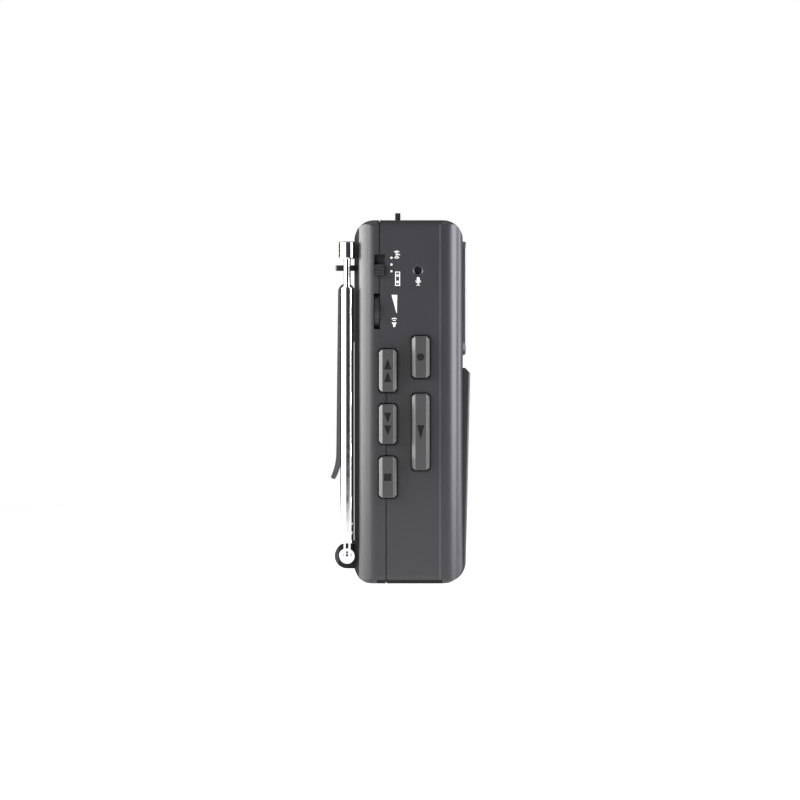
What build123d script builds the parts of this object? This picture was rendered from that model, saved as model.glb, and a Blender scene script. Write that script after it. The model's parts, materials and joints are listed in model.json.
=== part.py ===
from build123d import *
import math
import os

os.makedirs("parts", exist_ok=True)

# Pocket microcassette recorder with FM radio, standing upright, in millimetres.
# X is the depth (+X is the cassette door side), Y the width (-Y is the key side), Z is up.
# The origin is the centre of the flat bottom.

# Case
height = 118.0
rear_x = -18.0
front_x = 17.4
half_width = 33.0
wall = 1.8
top_radius = 6.5
rear_bottom_radius = 5.7
front_bottom_radius = 6.4
side_edge_radius = 2.6
corner_radius = 7.0
seam_gap = 0.05
seam_groove = 0.3
seam_groove_depth = 0.4
rear_seam_low_x = -7.6
rear_seam_high_x = -9.8
rear_seam_step_z = 80.0
front_seam_x = 9.9
clearance = 0.3
inner_side = half_width - wall
inner_rear_x = rear_x + wall
inner_front_x = front_x - wall
beyond = 1.0

# Keys on the -Y side: column x, centre z, length along z
key_width = 5.7
key_gap = 0.4
key_height = 2.4
key_side_bevel = 1.1
key_end_bevel = 0.5
key_corner = 1.0
key_mark_depth = 0.4
left_column_x = -7.05
right_column_x = 3.6
keys = {
    "rewind_key": (left_column_x, 69.1, 13.9),
    "fast_forward_key": (left_column_x, 51.8, 13.0),
    "stop_key": (left_column_x, 34.6, 13.4),
    "record_key": (right_column_x, 73.5, 13.6),
    "play_key": (right_column_x, 49.25, 24.8),
}
flange_y = (-30.9, -29.9)
key_stem_radius = 1.4
key_stem_end_y = -22.4
bracket_y = (-24.0, -23.0)

# Radio controls on the -Y side
slide_slot_x = (-11.5, -8.0)
slide_slot_z = (99.8, 106.8)
slide_knob_height = 3.5
volume_wheel_radius = 6.6
volume_wheel_x = (-11.35, -9.85)
volume_axis = (-27.6, 88.4)
volume_slot_x = (-11.6, -9.6)
volume_slot_z = (82.55, 94.15)
mic_axis = (2.75, 101.6)
mic_hole_radius = 1.2

# Tuning wheel standing out of the top
tuning_axis = (-5.0, 109.3)
tuning_radius = 12.4
tuning_wheel_x = (-4.7, -2.95)
tuning_slot_margin = 0.3
tuning_body_half = 7.0
tuning_body_top = 5.4

# Antenna
antenna_x = -20.3
antenna_y = -29.0
antenna_groove_radius = 4.0
swivel_z = 8.75
tube_bottom_z = 13.1
tube_top_z = 95.9
tube_radius = 2.2
rod_radius = 1.2
cap_z = (105.5, 111.1)
cap_radius = 2.7
stud_boss_radius = 4.1
stud_boss_y = (-26.0, -18.0)
stud_radius = 1.5
stud_disc_radius = 2.6

# Main board and speaker
board_x = (-7.6, -6.4)
speaker_z = 92.5
speaker_radius = 18.0
panel_half_width = 27.0
panel_z = (74.5, 111.4)
panel_thickness = 1.0

# Cassette door
door_pivot = (11.4, 7.0)
door_half_width = 26.5
door_top_z = 70.1
door_inner_x = 17.0
door_outer_top_x = 19.8
door_wrap_inner = 5.4
door_wrap_outer = 7.0
door_wrap_angle = -60.0
door_travel_angle = 30.0
door_pin_radius = 1.0
ear_y = (25.0, 26.5)
opening_half_width = 26.8
opening_top_z = 70.4
window_half_width = 17.0
window_z = (29.0, 48.0)
well_wall_y = (26.8, 28.0)

# Tape deck
chassis_x = (6.5, 7.5)
chassis_half_width = 26.5
chassis_z = (12.0, 69.0)
supply_axis = (5.5, 48.5)
takeup_axis = (5.5, 27.5)
reel_disc_radius = 8.0
reel_disc_x = (4.0, 5.8)
capstan_axis = (-9.0, 22.0)
capstan_radius = 1.0
capstan_drive_radius = 2.0
flywheel_radius = 7.6
flywheel_x = (-7.0, -4.0)
idler_gap = 0.05
motor_axis = (-11.0, 55.0)
motor_radius = 9.0
pulley_radius = 2.0
belt_thickness = 0.7
belt_width = 1.2
belt_seat_gap = 0.05
roller_axis = (-15.2, 22.0)
roller_radius = 3.0

# Batteries (AA size)
battery_radius = 7.1
battery_x = -8.8
battery_ys = (8.9, 23.5)
battery_z = (12.2, 61.2)
battery_door_z = 66.0
battery_door_y = 0.8
battery_door_x = -10.4
door_clearance = 0.25


# ---------------------------------------------------------------- helpers
def block(x_span, y_span, z_span, mode=Mode.ADD):
    """A plain box given by its low and high value on each axis."""
    spans = (x_span, y_span, z_span)
    middle = tuple((low + high) / 2 for low, high in spans)
    size = tuple(high - low for low, high in spans)
    with Locations(middle):
        Box(*size, mode=mode)


def round_x(axis_yz, radius, x_span, mode=Mode.ADD):
    """A round solid about an axis along X."""
    with BuildSketch(Plane.YZ.offset(x_span[0])) as profile:
        with Locations(axis_yz):
            Circle(radius)
    extrude(profile.sketch, amount=x_span[1] - x_span[0], mode=mode)


def round_y(axis_xz, radius, y_span, mode=Mode.ADD):
    """A round solid about an axis along Y."""
    with BuildSketch(Plane.XZ.offset(-y_span[1])) as profile:
        with Locations(axis_xz):
            Circle(radius)
    extrude(profile.sketch, amount=y_span[1] - y_span[0], mode=mode)


def round_z(axis_xy, radius, z_span, mode=Mode.ADD):
    """A round solid about an axis along Z."""
    with BuildSketch(Plane.XY.offset(z_span[0])) as profile:
        with Locations(axis_xy):
            Circle(radius)
    extrude(profile.sketch, amount=z_span[1] - z_span[0], mode=mode)


def cut_cross_slot(axis_yz, x_span, reach, half):
    """The driver slot of a screw whose axis lies along X."""
    y, z = axis_yz
    block(x_span, (y - reach, y + reach), (z - half, z + half), mode=Mode.SUBTRACT)
    block(x_span, (y - half, y + half), (z - reach, z + reach), mode=Mode.SUBTRACT)


def save(part, name):
    """Label a finished piece and write it as its own STEP file."""
    part.label = name
    export_step(part, f"parts/{name}.step")


def body_block(inset):
    """The outer form of the case, moved inwards by inset on every side."""
    low_x = rear_x + inset
    high_x = front_x - inset
    low_z = inset
    high_z = height - inset
    side = half_width - inset
    with BuildPart() as form:
        with BuildSketch(Plane.XZ.offset(-side)) as profile:
            with BuildLine():
                Polyline((low_x, low_z), (high_x, low_z), (high_x, high_z), (low_x, high_z), close=True)
            make_face()
            fillet(profile.vertices().group_by(Axis.Y)[-1], top_radius - inset)
            fillet(profile.vertices().group_by(Axis.Y)[0].sort_by(Axis.X)[0], rear_bottom_radius - inset)
            fillet(profile.vertices().group_by(Axis.Y)[0].sort_by(Axis.X)[-1], front_bottom_radius - inset)
        extrude(amount=2 * side)
        side_faces = form.faces().filter_by(Axis.Y)
        fillet(side_faces.edges(), max(side_edge_radius - inset, 0.5))
        with BuildSketch(Plane.XY) as plan:
            with Locations(((low_x + high_x) / 2, 0)):
                RectangleRounded(high_x - low_x, 2 * side, corner_radius - inset)
        extrude(amount=height, mode=Mode.INTERSECT)
    return form.part


def rear_region(margin):
    """Everything behind the stepped rear seam, moved back by margin."""
    with BuildPart() as region:
        with BuildSketch(Plane.XZ.offset(-half_width - beyond)) as profile:
            with BuildLine():
                Polyline(
                    (rear_x - beyond, -beyond),
                    (rear_seam_low_x - margin, -beyond),
                    (rear_seam_low_x - margin, rear_seam_step_z - margin),
                    (rear_seam_high_x - margin, rear_seam_step_z - margin),
                    (rear_seam_high_x - margin, height + beyond),
                    (rear_x - beyond, height + beyond),
                    close=True,
                )
            make_face()
        extrude(amount=2 * (half_width + beyond))
    return region.part


def front_region(margin):
    """Everything in front of the front seam, moved forward by margin."""
    with BuildPart() as region:
        block(
            (front_seam_x + margin, front_x + 3),
            (-half_width - beyond, half_width + beyond),
            (-beyond, height + beyond),
        )
    return region.part


def key_plan(centre, length, grow, y):
    """The octagonal plan of a key, seen from its side, as a sketch on the plane at y."""
    with BuildSketch(Plane.XZ.offset(-y)) as plan:
        with Locations(centre):
            Rectangle(key_width + 2 * grow, length + 2 * grow)
        chamfer(plan.vertices(), key_corner)
    return plan.sketch


def cut_side_openings():
    """Openings of the key side, cut from whichever shell is being built."""
    deep = 2 * wall + seam_groove_depth
    side_span = (-half_width - beyond, -half_width + deep)
    for x, z, length in keys.values():
        plan = key_plan((x, z), length, key_gap, side_span[1])
        extrude(plan, amount=deep + beyond, mode=Mode.SUBTRACT)
    block(slide_slot_x, side_span, slide_slot_z, mode=Mode.SUBTRACT)
    block(volume_slot_x, side_span, volume_slot_z, mode=Mode.SUBTRACT)


def make_seam_groove():
    """The shallow shadow groove along the rear seam, left out between volume wheel and keys."""
    half = seam_groove / 2
    key_x, key_z, key_length = keys["rewind_key"]
    with BuildPart() as groove:
        add(rear_region(-half))
        add(rear_region(half), mode=Mode.SUBTRACT)
        add(outer_form, mode=Mode.INTERSECT)
        add(body_block(seam_groove_depth), mode=Mode.SUBTRACT)
        block((volume_slot_x[0], key_x + key_width), (-half_width - beyond, -inner_side),
              (key_z + key_length / 2, volume_slot_z[0]), mode=Mode.SUBTRACT)
    return groove.part


outer_form = body_block(0)
seam_groove_form = make_seam_groove()

with BuildPart() as hollow_form:
    add(outer_form)
    add(body_block(wall), mode=Mode.SUBTRACT)


# ---------------------------------------------------------------- screws and posts
top_post_ys = (-21.0, 21.0)
top_post_z = 109.5
low_post = (-13.0, 5.6)
post_radius = 2.4
case_posts = [(y, top_post_z) for y in top_post_ys] + [low_post]
case_screw_shank = 1.0
case_screw_head = 1.9
case_screw_hole = 1.25
case_screw_pilot = 1.0
chassis_screw_radius = 0.74
chassis_screw_pilot = 0.75
finger_notch_half = 7.0
case_head_seat_x = -15.4
case_screw_tip_x = -1.0
clip_screws = ((-6.0, 86.0), (6.0, 86.0))
clip_screw_radius = 0.85
clip_screw_end_x = -13.4


# ---------------------------------------------------------------- rear shell
def battery_door_region(margin):
    """Space of the battery door, which wraps the rear corner and the bottom edge."""
    with BuildPart() as region:
        block(
            (rear_x - beyond, battery_door_x + margin),
            (battery_door_y - margin, half_width + beyond),
            (-beyond, battery_door_z + margin),
        )
    return region.part


compartment_x = (-14.5, -0.3)
compartment_side_y = 28.5
compartment_floor_x = (-1.3, -0.3)
compartment_wall_y = (-0.9, 0.6)
compartment_top_z = (63.5, 65.0)
compartment_low_z = (7.5, 8.7)
groove_top_z = 112.0
boss_root_x = -16.6
root_depth = 0.4

with BuildPart() as rear_shell:
    add(hollow_form.part)
    add(rear_region(seam_gap / 2), mode=Mode.INTERSECT)
    add(battery_door_region(door_clearance), mode=Mode.SUBTRACT)
    add(seam_groove_form, mode=Mode.SUBTRACT)
    cut_side_openings()
    # Battery compartment
    full_height = (compartment_low_z[0], compartment_top_z[1])
    block((inner_rear_x - root_depth, compartment_floor_x[1]), compartment_wall_y, full_height)
    block(compartment_floor_x, (compartment_wall_y[0], inner_side - 0.6), full_height)
    for end_z in (compartment_low_z, compartment_top_z):
        block(compartment_x, (compartment_wall_y[0], compartment_side_y), end_z)
    # Ledge behind the top edge of the battery door
    block((inner_rear_x - root_depth, inner_rear_x + 1.0), (compartment_wall_y[0], 25.0),
          (battery_door_z + door_clearance, battery_door_z + 2.0))
    # Screw posts, with counterbored holes from the rear
    for y, z in case_posts:
        round_x((y, z), post_radius, (inner_rear_x - root_depth, board_x[0] - 0.1))
    for y, z in case_posts:
        round_x((y, z), case_screw_hole, (rear_x - beyond, 0), mode=Mode.SUBTRACT)
        round_x((y, z), case_screw_head + 0.2, (rear_x - beyond, case_head_seat_x), mode=Mode.SUBTRACT)
    # Groove that the antenna lies in, with a round end under the top
    round_z((antenna_x, antenna_y), antenna_groove_radius, (-beyond, groove_top_z), mode=Mode.SUBTRACT)
    with Locations((antenna_x, antenna_y, groove_top_z)):
        Sphere(antenna_groove_radius, mode=Mode.SUBTRACT)
    # Boss that holds the antenna swivel
    with BuildSketch(Plane.XZ.offset(-stud_boss_y[1])):
        with Locations((antenna_x, swivel_z)):
            Circle(stud_boss_radius)
        with Locations(((antenna_x + boss_root_x) / 2, swivel_z)):
            Rectangle(boss_root_x - antenna_x, 2 * stud_boss_radius)
    extrude(amount=stud_boss_y[1] - stud_boss_y[0])
    boss_cut_y = (stud_boss_y[0] - beyond, stud_boss_y[1] + beyond)
    round_y((antenna_x, swivel_z), stud_radius + 0.05, boss_cut_y, mode=Mode.SUBTRACT)
    round_y((antenna_x, swivel_z), stud_disc_radius + 0.25, (boss_cut_y[0], stud_boss_y[0] + 1.0),
            mode=Mode.SUBTRACT)
    # Rest for the antenna's thin rod, with a shallow round notch
    with BuildSketch(Plane.XY.offset(101.7)):
        with BuildLine():
            Polyline((-16.6, -25.2), (-23.2, -25.2))
            ThreePointArc((-23.2, -25.2), (-24.1, -26.1), (-23.2, -27.0))
            Polyline((-23.2, -27.0), (-22.0, -27.0))
            ThreePointArc((-22.0, -27.0), (antenna_x, -26.6), (-18.6, -27.0))
            Polyline((-18.6, -27.0), (-16.6, -27.0), (-16.6, -25.2))
        make_face()
    extrude(amount=1.8)
    # Pads that the belt clip is screwed to
    for y, z in clip_screws:
        round_x((y, z), 3 * clip_screw_radius, (inner_rear_x - root_depth, clip_screw_end_x + 1.2))
        round_x((y, z), clip_screw_radius + 0.05, (rear_x - beyond, clip_screw_end_x + 0.4),
                mode=Mode.SUBTRACT)
save(rear_shell.part, "rear_shell")


# ---------------------------------------------------------------- centre shell
jack_axis = (0.0, 100.0)
jack_hole_radius = 3.05

with BuildPart() as centre_shell:
    add(hollow_form.part)
    add(rear_region(-seam_gap / 2), mode=Mode.SUBTRACT)
    add(front_region(-seam_gap / 2), mode=Mode.SUBTRACT)
    add(seam_groove_form, mode=Mode.SUBTRACT)
    cut_side_openings()
    # Microphone hole with a dished rim
    round_y(mic_axis, mic_hole_radius, (-half_width - beyond, -inner_side + beyond), mode=Mode.SUBTRACT)
    with Locations(Location((mic_axis[0], -half_width + 0.15, mic_axis[1]), (90, 0, 0))):
        Cone(mic_hole_radius, mic_hole_radius + 0.55, 0.5, mode=Mode.SUBTRACT)
    # Slot that the tuning wheel stands out of
    slot_half = math.sqrt(tuning_radius**2 - (height - wall - tuning_axis[1])**2) + tuning_slot_margin
    block(
        (tuning_wheel_x[0] - tuning_slot_margin, tuning_wheel_x[1] + tuning_slot_margin),
        (tuning_axis[0] - slot_half, tuning_axis[0] + slot_half),
        (height - wall - beyond, height + beyond),
        mode=Mode.SUBTRACT,
    )
    # Hole for the earphone jack
    round_y(jack_axis, jack_hole_radius, (inner_side - beyond, half_width + beyond), mode=Mode.SUBTRACT)
save(centre_shell.part, "centre_shell")


# ---------------------------------------------------------------- front shell
trough_outer = door_wrap_inner - clearance
trough_inner = trough_outer - 1.1
trough_end_angle = door_wrap_angle - door_travel_angle - 2.0
trough_foot_angle = -103.0
ear_hub_radius = 2.4
ear_low_angle = -18.0
ear_slot_angle = ear_low_angle - door_travel_angle - 3.0
far_radius = 12.0
opening_y = (-opening_half_width, opening_half_width)
chassis_posts = [(side * 25.0, z) for side in (-1, 1) for z in (22.0, 66.0)]


def sector(inner, outer, start_angle, end_angle, y_span):
    """A ring sector about the door pivot, as a part."""
    def point(radius, angle):
        turn = math.radians(angle)
        return (door_pivot[0] + radius * math.cos(turn), door_pivot[1] + radius * math.sin(turn))

    middle = (start_angle + end_angle) / 2
    with BuildPart() as ring:
        with BuildSketch(Plane.XZ.offset(-y_span[1])):
            with BuildLine():
                ThreePointArc(point(inner, start_angle), point(inner, middle), point(inner, end_angle))
                Line(point(inner, end_angle), point(outer, end_angle))
                ThreePointArc(point(outer, end_angle), point(outer, middle), point(outer, start_angle))
                Line(point(outer, start_angle), point(inner, start_angle))
            make_face()
        extrude(amount=y_span[1] - y_span[0])
    return ring.part


with BuildPart() as well_walls:
    for side in (-1, 1):
        y_low, y_high = sorted((side * well_wall_y[0], side * well_wall_y[1]))
        block((chassis_x[1] + 0.1, front_x), (y_low, y_high), (2.3, opening_top_z + 1.2))
    block((chassis_x[1] + 0.4, front_x), (-well_wall_y[1], well_wall_y[1]),
          (opening_top_z, opening_top_z + 1.2))
    for y, z in chassis_posts:
        round_x((y, z), 2.0, (chassis_x[1], 15.9))
    add(body_block(wall / 3), mode=Mode.INTERSECT)

with BuildPart() as front_shell:
    add(hollow_form.part)
    add(front_region(seam_gap / 2), mode=Mode.INTERSECT)
    # Door opening, and the round trough that the door's lower edge turns in
    block((inner_front_x - beyond, front_x + beyond), opening_y, (door_pivot[1], opening_top_z),
          mode=Mode.SUBTRACT)
    add(well_walls.part)
    add(sector(trough_inner, trough_outer, trough_foot_angle, -3.0, opening_y))
    add(sector(trough_inner, trough_outer + 0.9, trough_foot_angle, trough_end_angle, opening_y))
    # Posts for the two upper and the lower case screws
    for y, z in case_posts:
        round_x((y, z), post_radius, (board_x[1] + 0.1, inner_front_x + root_depth))
    add(outer_form, mode=Mode.INTERSECT)
    add(sector(trough_outer, far_radius, trough_end_angle, 0.0, opening_y), mode=Mode.SUBTRACT)
    for side in (-1, 1):
        y_low, y_high = sorted((side * (ear_y[0] - clearance), side * opening_half_width))
        add(sector(ear_hub_radius + 0.2, far_radius, ear_slot_angle, 2.0, (y_low, y_high)),
            mode=Mode.SUBTRACT)
    round_y(door_pivot, door_pin_radius + 0.02, (-28.5, 28.5), mode=Mode.SUBTRACT)
    for y, z in chassis_posts:
        round_x((y, z), chassis_screw_pilot, (chassis_x[1] - beyond, 14.5), mode=Mode.SUBTRACT)
    for y, z in case_posts:
        round_x((y, z), case_screw_pilot, (board_x[1] - beyond, 2.0), mode=Mode.SUBTRACT)
    # Finger notch over the door
    with BuildSketch(Plane.XZ.offset(-finger_notch_half)):
        with BuildLine():
            Polyline((front_x + beyond, opening_top_z), (front_x - 0.8, opening_top_z),
                     (front_x - 0.8, opening_top_z + 0.6), (front_x + beyond, panel_z[0] - 0.2), close=True)
        make_face()
    extrude(amount=2 * finger_notch_half, mode=Mode.SUBTRACT)
    # Speaker opening behind the panel
    round_x((0, speaker_z), speaker_radius - 2.0, (inner_front_x - beyond, front_x + beyond),
            mode=Mode.SUBTRACT)
save(front_shell.part, "front_shell")


# ---------------------------------------------------------------- front panel and speaker
grille_radius = 13.5
grille_hole_radius = 0.75
grille_pitch = 2.9


def grille_points():
    """Centres of the speaker holes: a hexagonal grid kept inside a circle."""
    row_height = grille_pitch * math.sqrt(3) / 2
    reach = int(grille_radius / row_height) + 1
    points = []
    for row in range(-reach, reach + 1):
        shift = grille_pitch / 2 if row % 2 else 0
        for column in range(-reach, reach + 1):
            y = column * grille_pitch + shift
            z = row * row_height
            if math.hypot(y, z) < grille_radius:
                points.append((y, speaker_z + z))
    return points


with BuildPart() as front_panel:
    with BuildSketch(Plane.YZ.offset(front_x)):
        with Locations((0, (panel_z[0] + panel_z[1]) / 2)):
            RectangleRounded(2 * panel_half_width, panel_z[1] - panel_z[0], 4.0)
    extrude(amount=panel_thickness)
    fillet(front_panel.faces().sort_by(Axis.X)[-1].edges(), 0.35)
    with BuildSketch(Plane.YZ.offset(front_x - beyond)):
        with Locations(*grille_points()):
            Circle(grille_hole_radius)
    extrude(amount=panel_thickness + 2 * beyond, mode=Mode.SUBTRACT)
save(front_panel.part, "front_panel")

speaker_rim_x = inner_front_x - 0.1
speaker_axis = Axis((0, 0, speaker_z), (1, 0, 0))

with BuildPart() as speaker_basket:
    with BuildSketch(Plane.XZ):
        with BuildLine():
            Polyline(
                (speaker_rim_x, speaker_z + 15.6),
                (speaker_rim_x, speaker_z + speaker_radius),
                (speaker_rim_x - 1.0, speaker_z + speaker_radius),
                (speaker_rim_x - 1.0, speaker_z + 16.8),
                (speaker_rim_x - 3.6, speaker_z + 9.5),
                (speaker_rim_x - 3.6, speaker_z + 4.2),
                (speaker_rim_x - 3.0, speaker_z + 4.2),
                (speaker_rim_x - 3.0, speaker_z + 9.0),
                close=True,
            )
        make_face()
    revolve(axis=speaker_axis)
save(speaker_basket.part, "speaker_basket")

with BuildPart() as speaker_magnet:
    round_x((0, speaker_z), 8.6, (speaker_rim_x - 7.0, speaker_rim_x - 3.6))
    fillet(speaker_magnet.faces().sort_by(Axis.X)[0].edges(), 0.6)
save(speaker_magnet.part, "speaker_magnet")

with BuildPart() as speaker_cone:
    with BuildSketch(Plane.XZ):
        with BuildLine():
            Polyline(
                (speaker_rim_x + 0.08, speaker_z + 16.6),
                (speaker_rim_x, speaker_z + 16.6),
                (speaker_rim_x, speaker_z + 15.6),
                (speaker_rim_x - 0.35, speaker_z + 14.7),
                (speaker_rim_x - 2.8, speaker_z + 5.4),
                (speaker_rim_x - 1.7, speaker_z),
                (speaker_rim_x - 1.4, speaker_z),
                (speaker_rim_x - 2.4, speaker_z + 5.4),
                (speaker_rim_x - 0.1, speaker_z + 14.6),
                (speaker_rim_x + 0.08, speaker_z + 15.2),
                close=True,
            )
        make_face()
    revolve(axis=speaker_axis)
save(speaker_cone.part, "speaker_cone")


# ---------------------------------------------------------------- keys, springs and bracket
spring_radius = 2.0
spring_wire = 0.18
spring_pitch = 1.15
mark_width = 2.4


def key_icon(name, x, z, y):
    """The sunk function mark on top of a key, as a sketch on the plane at y."""
    with BuildSketch(Plane.XZ.offset(-y)) as icon:
        if name == "record_key":
            with Locations((x, z)):
                Circle(mark_width / 2)
        elif name == "stop_key":
            with Locations((x, z)):
                Rectangle(mark_width, mark_width)
        else:
            twice = name != "play_key"
            rows = (-2.05, 2.05) if twice else (0,)
            tip = 1.0 if name == "rewind_key" else -1.0
            half = 1.65 if twice else 2.2
            for row in rows:
                with BuildLine():
                    Polyline(
                        (x - mark_width / 2, z + row - tip * half),
                        (x + mark_width / 2, z + row - tip * half),
                        (x, z + row + tip * half),
                        close=True,
                    )
                make_face()
    return icon.sketch


def bevelled_section(plane, middle, width, bevel, y_span):
    """A block's section with its two outer corners cut at 45 degrees, as a sketch."""
    top_y, low_y = y_span
    half = width / 2
    corners = [(low_y, -half), (top_y + bevel, -half), (top_y, bevel - half),
               (top_y, half - bevel), (top_y + bevel, half), (low_y, half)]
    if plane.z_dir.Z > 0.5:
        points = [(middle + across, y) for y, across in corners]
    else:
        points = [(y, middle + across) for y, across in corners]
    with BuildSketch(plane) as section:
        with BuildLine():
            Polyline(*points, close=True)
        make_face()
    return section.sketch


def make_key(name, x, z, length):
    """A tape key: bevelled cap, retaining flange inside the case, and a guide stem."""
    top_y = -half_width - key_height
    cap_span = (top_y, flange_y[0])
    with BuildPart() as key:
        extrude(key_plan((x, z), length, 0, flange_y[0]), amount=flange_y[0] - top_y)
        across = bevelled_section(Plane.XY.offset(z - length / 2), x, key_width, key_side_bevel, cap_span)
        extrude(across, amount=length, mode=Mode.INTERSECT)
        along = bevelled_section(Plane.YZ.offset(x - key_width / 2), z, length, key_end_bevel, cap_span)
        extrude(along, amount=key_width, mode=Mode.INTERSECT)
        fillet(key.faces().sort_by(Axis.Y)[0].edges(), 0.2)
        block((x - key_width / 2 - 0.7, x + key_width / 2 + 0.7), flange_y,
              (z - length / 2 - 0.9, z + length / 2 + 0.9))
        round_y((x, z), key_stem_radius, (flange_y[1], key_stem_end_y))
        extrude(key_icon(name, x, z, top_y + key_mark_depth), amount=beyond, mode=Mode.SUBTRACT)
    save(key.part, name)


for key_name, (key_x, key_z, key_length) in keys.items():
    make_key(key_name, key_x, key_z, key_length)

# One return spring round the stem of each key
with BuildPart() as key_springs:
    spring_start_y = flange_y[1] + spring_wire + 0.02
    spring_length = bracket_y[0] - spring_wire - 0.02 - spring_start_y
    for x, z, length in keys.values():
        with BuildLine() as coil:
            Helix(pitch=spring_pitch, height=spring_length, radius=spring_radius,
                  center=(x, spring_start_y, z), direction=(0, 1, 0))
        with BuildSketch(Plane(origin=coil.line @ 0, z_dir=coil.line % 0)) as wire_section:
            Circle(spring_wire)
        sweep(sections=wire_section.sketch, path=coil.line, is_frenet=True)
save(key_springs.part, "key_springs")

with BuildPart() as key_bracket:
    block((-10.9, chassis_x[0] - 0.05), bracket_y, (30.0, 78.4))
    block((chassis_x[0] - 0.85, chassis_x[0] - 0.05), (bracket_y[0], -21.2), (30.0, 34.0))
    block((chassis_x[0] - 0.85, chassis_x[0] - 0.05), (bracket_y[0], -21.2), (57.0, 61.0))
    block((4.8, chassis_x[0] + beyond), (bracket_y[0] - beyond, bracket_y[1] + beyond), (64.0, 68.0),
          mode=Mode.SUBTRACT)
    for x, z, length in keys.values():
        round_y((x, z), key_stem_radius + 0.08, (bracket_y[0] - beyond, bracket_y[1] + beyond),
                mode=Mode.SUBTRACT)
save(key_bracket.part, "key_bracket")


# ---------------------------------------------------------------- main board and radio
with BuildPart() as main_board:
    block(board_x, (-18.6, 28.6), (67.0, 113.2))
    block(board_x, (-29.0, -18.6), (79.2, 112.0))
    round_x(tuning_axis, 1.9, (board_x[0] - beyond, board_x[1] + beyond), mode=Mode.SUBTRACT)
    round_x(volume_axis, 1.2, (board_x[0] - beyond, board_x[1] + beyond), mode=Mode.SUBTRACT)
    for y in top_post_ys:
        round_x((y, top_post_z), case_screw_hole, (board_x[0] - beyond, board_x[1] + beyond),
                mode=Mode.SUBTRACT)
save(main_board.part, "main_board")

board_face = board_x[1]
with BuildPart() as board_components:
    for y, z, radius, tall in ((13.0, 72.0, 2.5, 5.5), (20.0, 73.0, 3.1, 6.5), (25.4, 84.0, 2.0, 5.0),
                               (12.0, 84.5, 2.0, 5.0), (18.0, 88.0, 2.5, 5.5)):
        round_x((y, z), radius, (board_face, board_face + tall))
    for y, z, wide, tall in ((-6.0, 76.0, 14.0, 6.0), (2.0, 86.5, 10.0, 5.0), (-23.0, 84.0, 7.0, 5.0)):
        block((board_face, board_face + 2.2), (y - wide / 2, y + wide / 2), (z - tall / 2, z + tall / 2))
    for y, z in ((-14.0, 88.0), (-23.5, 93.0), (24.0, 92.5)):
        block((board_face, board_face + 5.0), (y - 2.5, y + 2.5), (z - 2.5, z + 2.5))
    for y in (12.5, 15.0, 17.5, 20.0, 22.5):
        block((board_face, board_face + 0.6), (y - 0.6, y + 0.6), (77.5, 79.5))
save(board_components.part, "board_components")

with BuildPart() as volume_pot:
    round_x(volume_axis, 3.3, (volume_wheel_x[1] + 0.15, board_x[0]))
    round_x(volume_axis, 1.5, (volume_wheel_x[0], volume_wheel_x[1] + 0.15))
    for z in (-3.0, 0.0, 3.0):
        block((board_x[0] - 0.8, board_x[0]), (-23.4, -20.5),
              (volume_axis[1] + z - 0.5, volume_axis[1] + z + 0.5))
    block((board_x[0] - 0.8, board_x[0]), (-24.6, -23.2), (volume_axis[1] - 3.5, volume_axis[1] + 3.5))
save(volume_pot.part, "volume_pot")


def knurled_wheel(axis_yz, radius, x_span, bore, teeth, tooth_depth):
    """A thumbwheel with a knurled rim, drawn into the current part."""
    with BuildSketch(Plane.YZ.offset(x_span[0])) as profile:
        with Locations(axis_yz):
            Circle(radius)
            with PolarLocations(radius + tooth_depth * 0.35, teeth):
                Rectangle(2 * tooth_depth, math.pi * radius / teeth, rotation=0, mode=Mode.SUBTRACT)
        with Locations(axis_yz):
            Circle(bore, mode=Mode.SUBTRACT)
    extrude(profile.sketch, amount=x_span[1] - x_span[0])


with BuildPart() as volume_wheel:
    knurled_wheel(volume_axis, volume_wheel_radius, volume_wheel_x, 1.55, 44, 0.35)
save(volume_wheel.part, "volume_wheel")

with BuildPart() as tuning_capacitor:
    block((board_x[0] - tuning_body_half, board_x[0]),
          (tuning_axis[0] - tuning_body_half, tuning_axis[0] + tuning_body_half),
          (tuning_axis[1] - tuning_body_half, tuning_axis[1] + tuning_body_top))
    round_x(tuning_axis, 1.5, (board_x[0], tuning_wheel_x[1]))
save(tuning_capacitor.part, "tuning_capacitor")

with BuildPart() as tuning_wheel:
    knurled_wheel(tuning_axis, tuning_radius, tuning_wheel_x, 1.55, 84, 0.35)
    round_x(tuning_axis, 3.0, (tuning_wheel_x[0] - 1.0, tuning_wheel_x[0]))
    round_x(tuning_axis, 1.55, (tuning_wheel_x[0] - 1.5, tuning_wheel_x[0] + 1), mode=Mode.SUBTRACT)
save(tuning_wheel.part, "tuning_wheel")

slide_x = (slide_slot_x[0] + slide_slot_x[1]) / 2
slide_body_x = (slide_slot_x[0] + 0.1, board_x[0])
with BuildPart() as slide_switch:
    block(slide_body_x, (-30.2, -26.0), (96.6, 109.8))
    block((slide_x - 0.7, slide_x + 0.7), (-31, -29.2), (98.6, 108.0), mode=Mode.SUBTRACT)
save(slide_switch.part, "slide_switch")

knob_x = (slide_slot_x[0] + 0.15, slide_slot_x[1] - 0.15)
knob_z = (slide_slot_z[0] + 0.1, slide_slot_z[0] + 0.1 + slide_knob_height)
with BuildPart() as function_knob:
    block(knob_x, (-half_width - 1.5, -30.9), knob_z)
    for groove in (0.75, 1.75, 2.75):
        block((knob_x[0] - beyond, knob_x[1] + beyond), (-half_width - 2, -half_width - 1.15),
              (knob_z[0] + groove - 0.22, knob_z[0] + groove + 0.22), mode=Mode.SUBTRACT)
    block((knob_x[0] - 0.45, knob_x[1] + 0.6), (-30.95, -30.55), (96.4, 107.0))
    block((slide_x - 0.5, slide_x + 0.5), (-30.55, -29.5), (knob_z[0] + 0.8, knob_z[1] - 0.8))
save(function_knob.part, "function_knob")

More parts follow.
